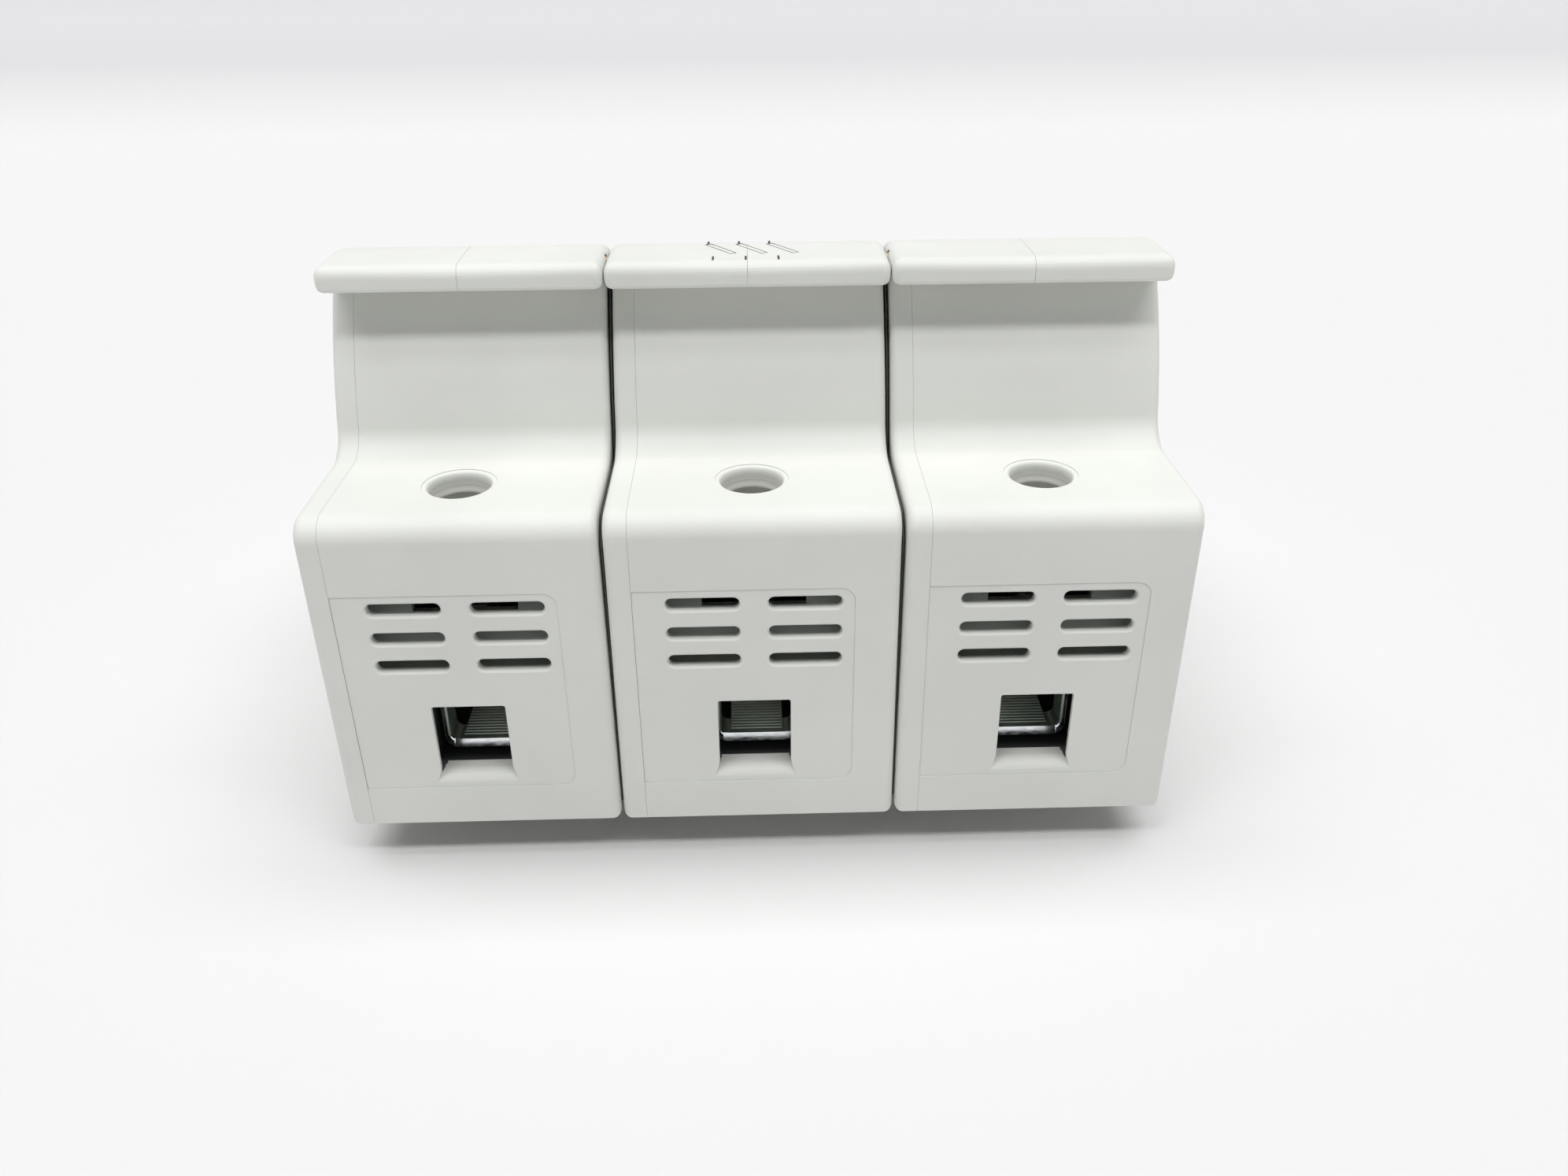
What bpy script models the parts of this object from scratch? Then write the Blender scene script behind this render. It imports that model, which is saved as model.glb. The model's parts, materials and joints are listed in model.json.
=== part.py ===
"""Three-pole cartridge fuse holder for a 35 mm DIN rail.

Three moulded poles stand side by side. Each has a fixed housing with a screw terminal at both ends,
a pair of fuse clips, and a carrier with a lipped handle that swings the fuse out about a rear hinge.
A pole is drawn about its own centre plane: x across it, y from the line end, z up from the rail side.
Dimensions are in millimetres, and the helpers turn them into metres.
"""

from math import asin, atan2, ceil, cos, degrees, pi, radians, sin, sqrt, tan

import bmesh
import bpy
from mathutils import Matrix, Vector

MM = 0.001
GAP = 0.3
OVERCUT = 1.0
WELD = 0.002
ON_PLANE = 0.0001

# How finely curves are faceted
ARC_STEP = 30.0
VENT_STEP = 45.0
FLAT = 0.0005
SHARP = 40.0
NECK_STEPS = 4
DRUM_STEPS = 5
DRUM_ROOM_STEPS = 3
HUB_STEPS = 4
ARCH_STEPS = 5
HOLE_SIDES = 12
CAP_SIDES = 16
SMALL_SIDES = 10
RIVET_HOLE_SIDES = 8

# The unit
POLES = ("1", "2", "3")
POLE_PITCH = 40.0
POLE_WIDTH = 39.4
LENGTH = 124.0
HALF_WIDTH = POLE_WIDTH / 2

# Hinge of the carriers, and the surfaces that turn about it
HINGE_Y = 86.0
HINGE_Z = 40.0
NECK_R = 64.8
CHAMBER_R = 62.6
CARRIER_R = 62.1
CARRIER_WALL = 1.7
DRUM_ROOM_R = 16.4
DRUM_R = 15.9
DRUM_WALL = 1.6
PIN_R = 3.0
PIN_BORE_R = 3.15
PIN_END = 19.0
PIN_BORE_END = 19.25

# Housing side profile
END_LIFT = 7.0
END_SLOPE = 0.6
SHOULDER_Z = 55.1
SHOULDER_EDGE_R = 3.2
COVE_R = 5.0
NECK_FOOT_Z = 61.1
SIDE_EDGE = 1.2
CHEEK_Z = 78.0
CHEEK_BEND_Y = 38.5
EAR_Z = 58.0
EAR_FRONT_Y = 77.7
EAR_REAR_Y = 93.0
EAR_FOOT_Y = 98.0
EAR_FRONT_R = 4.0
EAR_REAR_R = 3.0
EAR_FOOT_R = 2.0
FOOT_OUTER_Y = 16.0
SIDE_WALL_X = 17.5
FLOOR_Z = 18.8
REAR_WALL_Y = 99.0
REAR_TOP_Y = 104.6
DRUM_ROOM_TOP = 15.0
CHAMBER_OPEN_Z = 84.0
TONGUE_SLOT_Y = 28.0
TRIMMED_OFF = 10.0

# The cover that closes each pole's left side
PARTING_X = -16.4
COVER_INNER_X = PARTING_X - GAP / 2
MAIN_INNER_X = PARTING_X + GAP / 2

# 35 mm rail: notch, fixed hook and sliding latch
RAIL_CENTRE_Y = 62.0
NOTCH_HALF = 17.8
NOTCH_Z = 6.2
SEAT_Z = 6.0
SEAT_HALF = 15.6
HOOK_REACH = 1.8
HOOK_LOW_Z = 2.0
HOOK_HIGH_Z = 4.9
HOOK_RAMP = 3.0
LATCH_HALF = 6.2
LATCH_TIP_Y = 78.0
LATCH_END_Y = 121.0
LATCH_TIP_R = 0.8
LATCH_END_R = 1.5
LATCH_RAMP = 2.4
LATCH_SLOT_HALF = 4.5
PULL_HALF = 2.0
PULL_Y = (116.4, 118.6)
WINDOW_Y = (91.0, 103.0)
WINDOW_HALF = 3.7
PEG_Y = (100.2, 102.7)
PEG_HALF = 1.6
SPRING_LEAF = 0.5
SPRING_HALF = 3.0
SPRING_FOLDS = 3
SPRING_BEND_R = 0.9

# End face: sunken panel, vents and wire entry
PANEL_DEPTH = 0.25
PANEL_RIGHT_X = 13.7
PANEL_Z = (13.3, 45.05)
PANEL_R = 2.0
VENT_X = (1.97, 11.93)
VENT_ROWS_Z = (42.9, 38.4, 34.0)
VENT_HEIGHT = 1.8
PLENUM_X = 14.0
PLENUM_Y = (2.4, 5.6)
PLENUM_Z = (31.5, 45.2)
ENTRY_HALF = 5.1
ENTRY_Z = (15.56, 27.2)
ENTRY_FLARE = 1.05

# Screw terminal
SCREW_Y = 12.75
TERMINAL_HALF = 7.3
TERMINAL_Y = (3.5, 20.3)
TERMINAL_Z = (14.0, 43.0)
RIM_R = 5.15
RIM_DEPTH = 1.0
HOLE_R = 4.15
LEDGE_R = 3.6
LEDGE_Z = (49.0, 50.6)
HEAD_ROOM_R = 4.3
HEAD_ROOM_Z = 44.4
SHANK_ROOM_R = 3.3
HEAD_R = 3.8
HEAD_Z = (44.7, 48.4)
HEAD_EDGE = 0.4
SHANK_R = 3.0
SHANK_END_Z = 29.8
DRIVE_SLOT = 1.3
DRIVE_DEPTH = 1.9
CAGE_INNER = 5.0
CAGE_OUTER = 6.15
CAGE_Y = (7.3, 18.2)
CAGE_FLOOR_Z = (15.1, 16.4)
CAGE_TOP_Z = (29.9, 32.3)
CAGE_CORNER_R = 1.4
CAGE_NOTCH_Y = 11.4
CAGE_NOTCH_X = 3.9
CAGE_NOTCH_Z = 21.0

# Fuse, and the clips that hold it
FUSE_Y = (28.8, 89.1)
FUSE_Z = HINGE_Z
BARREL_R = 12.65
CAP_R = 13.5
CAP_BORE_R = 12.95
CAP_LENGTH = 15.9
CAP_END = 1.0
CAP_EDGE = 0.6
CLIP_INNER = 13.8
CLIP_OUTER = 15.2
CLIP_BASE_Z = (20.5, 22.5)
CLIP_BEND_R = 1.6
LINE_CLIP_Y = (31.0, 43.0)
LINE_CLIP_TOP = 47.0
FLARE_TOP = 52.0
FLARE = 1.4
LOAD_CLIP_Y = (73.8, 79.5)
LOAD_CLIP_TOP = 50.0
TONGUE_HALF = 4.1
TONGUE_Z = (27.5, 29.5)
TONGUE_END = 8.2
TONGUE_BEND_R = 0.8
STEP_Y = (23.2, 25.4)
BAND_INNER = 15.5
BAND_OUTER = 16.3
BAND_BASE_Z = (19.2, 20.1)
BAND_TOP_Z = 46.0
BAND_BEND_R = 1.2
LINE_BAND_Y = (33.0, 41.0)
LOAD_BAND_Y = (74.3, 78.8)

# Carrier
LIP_FRONT_Y = 26.0
PLATE_TOP_Z = 82.1
PLATE_THICK = 3.6
PLATE_BEND_Y = 39.5
PLATE_REAR_Y = 67.0
PLATE_SLOPE = 27.0
PLATE_BEND_R = 3.0
PLATE_REAR_R = 0.8
PLATE_CORNER_R = 2.0
LIP_R = 1.7
BODY_X = 17.1
BODY_WALL = 1.6
BODY_LOW_Z = 54.5
BACK_WALL = 1.8
BACK_TOP = ((66.2, 68.0), (84.0, 55.2))
WALL_BEND_Y = 38.5
WALL_BACK_YZ = (64.2, 67.0)
ARM_Y = 81.5
HUB_R = 5.5
HUB_LOW_ANGLE = -145.0
DRUM_LOW_ANGLE = -35.0
DRUM_HIGH_ANGLE = 100.0
DRUM_WALL_ANGLE = DRUM_LOW_ANGLE + 3.0
RIB_Y = ((49.0, 51.0), (64.0, 66.0))
RIB_ARCH_R = 13.0
RIB_LOW_Z = 38.0
RIB_TAPER_Z = 55.5
RIB_SINK = 1.5
TAB_HALF = 6.0
TAB_Y = (27.0, 28.4)
TAB_Z = (32.0, 56.0)

# Fasteners that run across the poles
TIE_YZ = (34.0, 80.3)
TIE_R = 0.9
TIE_BORE_R = 1.2
TIE_HALF = 3.3
TIE_BORE_DEPTH = 3.6
RIVET_YZ = ((8.0, 10.9), (116.0, 10.9), (4.8, 49.6), (119.2, 49.6))
RIVET_R = 1.5
RIVET_HOLE_R = 1.8
RIVET_RECESS = 0.4

for leftover in list(bpy.data.objects):
    bpy.data.objects.remove(leftover)

PARTS = bpy.data.collections.new("fuse_holder")
CUTTERS = bpy.data.collections.new("cutters")
for made in (PARTS, CUTTERS):
    bpy.context.scene.collection.children.link(made)


# Materials

def material(name, color, roughness, metallic=0.0):
    made = bpy.data.materials.new(name)
    made.use_nodes = True
    shader = made.node_tree.nodes["Principled BSDF"]
    shader.inputs["Base Color"].default_value = (*color, 1.0)
    shader.inputs["Roughness"].default_value = roughness
    shader.inputs["Metallic"].default_value = metallic
    return made


HOUSING_GREY = material("housing_grey", (0.57, 0.58, 0.54), 0.5)
HANDLE_GREY = material("handle_grey", (0.60, 0.61, 0.58), 0.48)
COPPER = material("tinned_copper", (0.62, 0.46, 0.33), 0.35, 1.0)
BRASS = material("cap_brass", (0.68, 0.52, 0.26), 0.3, 1.0)
STEEL = material("spring_steel", (0.42, 0.43, 0.44), 0.35, 1.0)
ZINC = material("zinc_plate", (0.50, 0.53, 0.54), 0.4, 1.0)
FIBRE = material("fuse_fibre", (0.36, 0.25, 0.16), 0.7)
LATCH_GREY = material("latch_grey", (0.20, 0.21, 0.21), 0.5)


# Outlines: corners are (u, v, radius), and a radius rounds that corner

def rounded(corners, arc_step):
    points = []
    for index, (u, v, radius) in enumerate(corners):
        here = Vector((u, v))
        if radius == 0:
            points.append(here)
            continue
        back = (Vector(corners[index - 1][:2]) - here).normalized()
        ahead = (Vector(corners[(index + 1) % len(corners)][:2]) - here).normalized()
        half = back.angle(ahead) / 2
        centre = here + (back + ahead).normalized() * (radius / sin(half))
        start = here + back * (radius / tan(half)) - centre
        end = here + ahead * (radius / tan(half)) - centre
        first = atan2(start.y, start.x)
        turn = (atan2(end.y, end.x) - first + pi) % (2 * pi) - pi
        steps = max(1, ceil(abs(degrees(turn)) / arc_step))
        for step in range(steps + 1):
            angle = first + turn * step / steps
            points.append(centre + Vector((cos(angle), sin(angle))) * radius)
    return points


def arc(centre, radius, start, end, steps):
    angles = [radians(start + (end - start) * step / steps) for step in range(steps + 1)]
    return [(centre[0] + radius * cos(a), centre[1] + radius * sin(a), 0.0) for a in angles]


def hinge_y(radius, z):
    """Where a surface that turns about the hinge lies in front of it, at this height."""
    return HINGE_Y - sqrt(radius ** 2 - (z - HINGE_Z) ** 2)


def hinge_arc(radius, low_z, high_z, steps):
    low = 180 - degrees(asin((low_z - HINGE_Z) / radius))
    high = 180 - degrees(asin((high_z - HINGE_Z) / radius))
    return arc((HINGE_Y, HINGE_Z), radius, low, high, steps)


def square(low, high):
    return [(low[0], low[1], 0), (high[0], low[1], 0), (high[0], high[1], 0), (low[0], high[1], 0)]


def mirrored(corners):
    """The same outline at the load end."""
    return [(LENGTH - y, z, radius) for y, z, radius in corners]


# Solids

TURNS = {
    "x": Matrix(((0, 0, 1), (1, 0, 0), (0, 1, 0))).to_4x4(),
    "y": Matrix(((1, 0, 0), (0, 0, -1), (0, 1, 0))).to_4x4(),
    "z": Matrix.Identity(4),
}
AXES = {"x": Vector((1, 0, 0)), "y": Vector((0, 1, 0)), "z": Vector((0, 0, 1))}


def helper(name, data):
    """An object used only to build others."""
    made = bpy.data.objects.new(name, data)
    made.hide_render = True
    made.display_type = "WIRE"
    CUTTERS.objects.link(made)
    return made


def flatten(shape):
    """Joins the flat faces that a fill or a Boolean leaves in pieces."""
    bmesh.ops.dissolve_limit(shape, angle_limit=FLAT, verts=shape.verts, edges=shape.edges)


def evaluated(obj, drawn=False):
    """The object's mesh with its modifiers applied and welded. One just drawn has its normals set out."""
    bpy.context.view_layer.update()
    graph = bpy.context.evaluated_depsgraph_get()
    mesh = bpy.data.meshes.new_from_object(obj.evaluated_get(graph))
    shape = bmesh.new()
    shape.from_mesh(mesh)
    bmesh.ops.remove_doubles(shape, verts=shape.verts, dist=WELD * MM)
    if drawn:
        flatten(shape)
        bmesh.ops.recalc_face_normals(shape, faces=shape.faces)
    shape.to_mesh(mesh)
    shape.free()
    return mesh


def extrude(corners, low, high, axis, edge=0.0, arc_step=ARC_STEP):
    """A flat outline given thickness along x (y, z outline), y (x, z) or z (x, y). edge bevels its rims."""
    curve = bpy.data.curves.new("outline", "CURVE")
    curve.dimensions = "2D"
    curve.fill_mode = "BOTH"
    curve.extrude = ((high - low) / 2 - edge) * MM
    curve.bevel_depth = edge * MM
    curve.bevel_resolution = 0
    curve.offset = -edge * MM
    points = rounded(corners, arc_step)
    spline = curve.splines.new("POLY")
    spline.points.add(len(points) - 1)
    for slot, point in zip(spline.points, points):
        slot.co = (point.x * MM, point.y * MM, 0, 1)
    spline.use_cyclic_u = True
    drawn = helper("outline", curve)
    mesh = evaluated(drawn, drawn=True)
    bpy.data.objects.remove(drawn)
    mesh.transform(Matrix.Translation(AXES[axis] * (low + high) / 2 * MM) @ TURNS[axis])
    return helper("solid", mesh)


def box(low, high):
    return extrude(square(low[:2], high[:2]), low[2], high[2], "z")


def rod(centre, radius, low, high, axis, sides):
    """A round bar along an axis. centre holds the other two coordinates, in x, y, z order."""
    shape = bmesh.new()
    place = list(centre)
    place.insert("xyz".index(axis), (low + high) / 2)
    middle = Matrix.Translation(Vector(place) * MM) @ TURNS[axis]
    bmesh.ops.create_cone(
        shape, cap_ends=True, segments=sides, radius1=radius * MM, radius2=radius * MM,
        depth=(high - low) * MM, matrix=middle,
    )
    mesh = bpy.data.meshes.new("rod")
    shape.to_mesh(mesh)
    shape.free()
    return helper("rod", mesh)


def turned(profile, steps, turn, centre):
    """A profile of (radius, height) points, top to bottom, spun about z, then turned and placed."""
    mesh = bpy.data.meshes.new("profile")
    points = [(radius * MM, 0, height * MM) for radius, height in profile]
    mesh.from_pydata(points, [(index, index + 1) for index in range(len(points) - 1)], [])
    spun = helper("turned", mesh)
    screw = spun.modifiers.new("spin", "SCREW")
    screw.steps = steps
    screw.render_steps = steps
    screw.use_merge_vertices = True
    screw.merge_threshold = WELD * MM
    solid = evaluated(spun, drawn=True)
    bpy.data.objects.remove(spun)
    solid.transform(Matrix.Translation(Vector(centre) * MM) @ turn)
    return helper("turned", solid)


def combine(target, tools, operation):
    """Applies one Boolean after another, welding the mesh between them."""
    for tool in tools:
        modifier = target.modifiers.new(operation.lower(), "BOOLEAN")
        modifier.operation = operation
        modifier.solver = "EXACT"
        modifier.object = tool
        target.data = evaluated(target)
        target.modifiers.clear()
    return target


def cut(target, *tools):
    return combine(target, tools, "DIFFERENCE")


def join(target, *tools):
    return combine(target, tools, "UNION")


def common(target, *tools):
    return combine(target, tools, "INTERSECT")


def trim(target, x, keep_right):
    """Cuts a solid square across at x and closes it."""
    shape = bmesh.new()
    shape.from_mesh(target.data)
    cut_edges = bmesh.ops.bisect_plane(
        shape, geom=shape.verts[:] + shape.edges[:] + shape.faces[:], dist=ON_PLANE * MM,
        plane_co=(x * MM, 0, 0), plane_no=(1 if keep_right else -1, 0, 0), clear_inner=True,
    )["geom_cut"]
    bmesh.ops.holes_fill(shape, edges=[e for e in cut_edges if isinstance(e, bmesh.types.BMEdge)])
    bmesh.ops.recalc_face_normals(shape, faces=shape.faces)
    shape.to_mesh(target.data)
    shape.free()
    return target


# Nodes

def node(name, solid, color, pole_x, origin=(0.0, 0.0, 0.0), parent=None):
    """A finished piece of one pole, with its own origin at the given point of the pole."""
    made = bpy.data.objects.new(name, solid.data)
    if not solid.data.materials:
        shape = bmesh.new()
        shape.from_mesh(solid.data)
        flatten(shape)
        shape.to_mesh(solid.data)
        shape.free()
        solid.data.transform(Matrix.Translation(Vector(origin) * -MM))
        solid.data.materials.append(color)
        solid.data.shade_smooth()
        solid.data.set_sharp_from_angle(angle=radians(SHARP))
    place = Vector((pole_x + origin[0], origin[1] - LENGTH / 2, origin[2])) * MM
    if parent:
        made.parent = parent
        place = place - parent.location
    made.location = place
    PARTS.objects.link(made)
    return made


# Housing

def housing_profile():
    foot = LENGTH - FOOT_OUTER_Y
    notch = (RAIL_CENTRE_Y - NOTCH_HALF, RAIL_CENTRE_Y + NOTCH_HALF)
    seat = (RAIL_CENTRE_Y - SEAT_HALF, RAIL_CENTRE_Y + SEAT_HALF)
    hook = notch[0] + HOOK_REACH
    return [
        (0, END_LIFT, 0),
        (0, SHOULDER_Z, SHOULDER_EDGE_R),
        (hinge_y(NECK_R, SHOULDER_Z), SHOULDER_Z, COVE_R),
        *hinge_arc(NECK_R, NECK_FOOT_Z, CHEEK_Z, NECK_STEPS),
        (CHEEK_BEND_Y, CHEEK_Z, 0),
        (EAR_FRONT_Y, EAR_Z, EAR_FRONT_R),
        (EAR_REAR_Y, EAR_Z, EAR_REAR_R),
        (EAR_FOOT_Y, SHOULDER_Z, EAR_FOOT_R),
        (LENGTH, SHOULDER_Z, SHOULDER_EDGE_R),
        (LENGTH, END_LIFT, 0),
        (foot, END_LIFT - END_SLOPE, 0),
        (foot, 0, 0),
        (notch[1], 0, 0),
        (notch[1], NOTCH_Z, 0),
        (seat[1], NOTCH_Z, 0),
        (seat[1], SEAT_Z, 0),
        (seat[0], SEAT_Z, 0),
        (seat[0], NOTCH_Z, 0),
        (notch[0], NOTCH_Z, 0),
        (notch[0], HOOK_HIGH_Z, 0),
        (hook, HOOK_HIGH_Z, 0),
        (hook, HOOK_LOW_Z, 0),
        (hook - HOOK_RAMP, 0, 0),
        (FOOT_OUTER_Y, 0, 0),
        (FOOT_OUTER_Y, END_LIFT - END_SLOPE, 0),
    ]


def chamber(low_x, high_x):
    """The room of the fuse and its carrier, open at the top."""
    hinge = (HINGE_Y, HINGE_Z)
    drum_low = -degrees(asin(sqrt(DRUM_ROOM_R ** 2 - (REAR_WALL_Y - HINGE_Y) ** 2) / DRUM_ROOM_R))
    outline = [
        *hinge_arc(CHAMBER_R, FLOOR_Z, CHAMBER_OPEN_Z, 2 * NECK_STEPS),
        (REAR_TOP_Y, CHAMBER_OPEN_Z, 0),
        (REAR_TOP_Y, SHOULDER_Z, 0),
        *arc(hinge, DRUM_ROOM_R, DRUM_ROOM_TOP, drum_low, DRUM_ROOM_STEPS),
        (REAR_WALL_Y, FLOOR_Z, 0),
    ]
    return extrude(outline, low_x, high_x, "x")


def end_cutters(turn):
    """What is cut into one end: turn moves a solid drawn at the line end to that end."""
    panel = [
        (MAIN_INNER_X - OVERCUT, PANEL_Z[0], 0),
        (PANEL_RIGHT_X, PANEL_Z[0], PANEL_R),
        (PANEL_RIGHT_X, PANEL_Z[1], PANEL_R),
        (MAIN_INNER_X - OVERCUT, PANEL_Z[1], 0),
    ]
    made = [extrude(panel, -OVERCUT, PANEL_DEPTH, "y")]
    made.append(box((-PLENUM_X, PLENUM_Y[0], PLENUM_Z[0]), (PLENUM_X, PLENUM_Y[1], PLENUM_Z[1])))
    made += [vent(side, z) for z in VENT_ROWS_Z for side in (-1, 1)]
    made.append(box((-TERMINAL_HALF, TERMINAL_Y[0], TERMINAL_Z[0]),
                    (TERMINAL_HALF, TERMINAL_Y[1], TERMINAL_Z[1])))
    made.append(box((-ENTRY_HALF, -OVERCUT, ENTRY_Z[0]),
                    (ENTRY_HALF, TERMINAL_Y[0] + OVERCUT, ENTRY_Z[1])))
    made.append(entry_flare())
    made.append(box((-TONGUE_HALF - GAP, TERMINAL_Y[1] - OVERCUT, CLIP_BASE_Z[0] - 2 * GAP),
                    (TONGUE_HALF + GAP, TONGUE_SLOT_Y, TONGUE_Z[1] + 2 * GAP)))
    made.append(screw_hole())
    for solid in made:
        solid.data.transform(turn)
    return made


def vent(side, z):
    """A slot with round ends, from the end face into the space behind it."""
    low, high = sorted((side * VENT_X[0], side * VENT_X[1]))
    end_r = VENT_HEIGHT / 2 - WELD
    outline = [(x, y, end_r) for x, y, _ in square((low, z - VENT_HEIGHT / 2), (high, z + VENT_HEIGHT / 2))]
    return extrude(outline, -OVERCUT, PLENUM_Y[0] + OVERCUT, "y", arc_step=VENT_STEP)


def entry_flare():
    """The wedge that flares the lower edge of a wire entry."""
    low_z = ENTRY_Z[0] - ENTRY_FLARE
    wedge = [(-ENTRY_FLARE, low_z - ENTRY_FLARE, 0), (ENTRY_FLARE, ENTRY_Z[0], 0),
             (ENTRY_FLARE, ENTRY_Z[0] + OVERCUT, 0), (-ENTRY_FLARE, ENTRY_Z[0] + OVERCUT, 0)]
    across = ENTRY_HALF + 2 * ENTRY_FLARE
    sides = [(-across, -ENTRY_FLARE, 0), (across, -ENTRY_FLARE, 0),
             (ENTRY_HALF, ENTRY_FLARE, 0), (-ENTRY_HALF, ENTRY_FLARE, 0)]
    return common(extrude(wedge, -across, across, "x"),
                  extrude(sides, low_z - 2 * ENTRY_FLARE, ENTRY_Z[0] + ENTRY_FLARE, "z"))


def screw_hole():
    over = SHOULDER_Z + OVERCUT
    profile = [
        (0, over), (RIM_R + OVERCUT, over), (HOLE_R, SHOULDER_Z - RIM_DEPTH), (HOLE_R, LEDGE_Z[1]),
        (LEDGE_R, LEDGE_Z[1]), (LEDGE_R, LEDGE_Z[0]), (HEAD_ROOM_R, LEDGE_Z[0]),
        (HEAD_ROOM_R, HEAD_ROOM_Z), (SHANK_ROOM_R, HEAD_ROOM_Z),
        (SHANK_ROOM_R, TERMINAL_Z[1] - OVERCUT), (0, TERMINAL_Z[1] - OVERCUT),
    ]
    return turned(profile, HOLE_SIDES, Matrix.Identity(4), (0, SCREW_Y, 0))


LINE_END = Matrix.Identity(4)
LOAD_END = Matrix.Translation((0, LENGTH * MM, 0)) @ Matrix.Diagonal((1, -1, 1, 1))


def rivet_holes(low_x, high_x):
    return [rod(place, RIVET_HOLE_R, low_x, high_x, "x", RIVET_HOLE_SIDES) for place in RIVET_YZ]


def housing_main():
    solid = extrude(housing_profile(), -HALF_WIDTH - TRIMMED_OFF, HALF_WIDTH, "x", SIDE_EDGE)
    trim(solid, MAIN_INNER_X, True)
    load = end_cutters(LOAD_END)
    for mirrored_solid in load:
        mirrored_solid.data.flip_normals()
    tunnel = box((-LATCH_HALF - GAP, LATCH_TIP_Y, HOOK_LOW_Z - GAP),
                 (LATCH_HALF + GAP, LENGTH, HOOK_HIGH_Z + GAP))
    slot = box((-LATCH_SLOT_HALF, LATCH_TIP_Y, -OVERCUT), (LATCH_SLOT_HALF, LENGTH, HOOK_LOW_Z))
    peg = box((-PEG_HALF, PEG_Y[0], HOOK_LOW_Z), (PEG_HALF, PEG_Y[1], HOOK_HIGH_Z + OVERCUT))
    bore = rod((HINGE_Y, HINGE_Z), PIN_BORE_R, SIDE_WALL_X - OVERCUT, PIN_BORE_END, "x", HOLE_SIDES)
    cut(solid, chamber(MAIN_INNER_X - OVERCUT, SIDE_WALL_X), *end_cutters(LINE_END), *load, bore, tunnel,
        slot, *rivet_holes(MAIN_INNER_X - OVERCUT, HALF_WIDTH + OVERCUT))
    return join(solid, peg)


def housing_cover():
    solid = extrude(housing_profile(), -HALF_WIDTH, HALF_WIDTH + TRIMMED_OFF, "x", SIDE_EDGE)
    trim(solid, COVER_INNER_X, False)
    bore = rod((HINGE_Y, HINGE_Z), PIN_BORE_R, -PIN_BORE_END, OVERCUT - SIDE_WALL_X, "x", HOLE_SIDES)
    return cut(solid, chamber(-SIDE_WALL_X, COVER_INNER_X + OVERCUT), bore,
               *rivet_holes(-HALF_WIDTH - OVERCUT, COVER_INNER_X + OVERCUT))


# Carrier: each half is drawn on the right and mirrored for the left

def plate_profile():
    slope = radians(PLATE_SLOPE)
    drop = Vector((sin(slope), cos(slope))) * PLATE_THICK
    rear_z = PLATE_TOP_Z - (PLATE_REAR_Y - PLATE_BEND_Y) * tan(slope)
    under_bend = PLATE_BEND_Y - PLATE_THICK * tan(slope / 2)
    return [
        (LIP_FRONT_Y, PLATE_TOP_Z - PLATE_THICK, LIP_R),
        (LIP_FRONT_Y, PLATE_TOP_Z, LIP_R),
        (PLATE_BEND_Y, PLATE_TOP_Z, PLATE_BEND_R),
        (PLATE_REAR_Y, rear_z, PLATE_REAR_R),
        (PLATE_REAR_Y - drop.x, rear_z - drop.y, PLATE_REAR_R),
        (under_bend, PLATE_TOP_Z - PLATE_THICK, 0),
    ]


def carrier_wall_profile():
    """A side wall: under the plate, back along the drum, round the hub and up the arm."""
    hinge = (HINGE_Y, HINGE_Z)
    mid = CARRIER_R - CARRIER_WALL / 2
    plate_mid = PLATE_TOP_Z - PLATE_THICK / 2
    return [
        *hinge_arc(mid, BODY_LOW_Z, plate_mid, NECK_STEPS),
        (WALL_BEND_Y, plate_mid, 0),
        (*WALL_BACK_YZ, 0),
        *arc(hinge, DRUM_R - DRUM_WALL / 2, DRUM_HIGH_ANGLE, DRUM_WALL_ANGLE, DRUM_STEPS),
        *arc(hinge, HUB_R, DRUM_WALL_ANGLE, HUB_LOW_ANGLE, HUB_STEPS),
        (ARM_Y, BODY_LOW_Z, 0),
    ]


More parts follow.
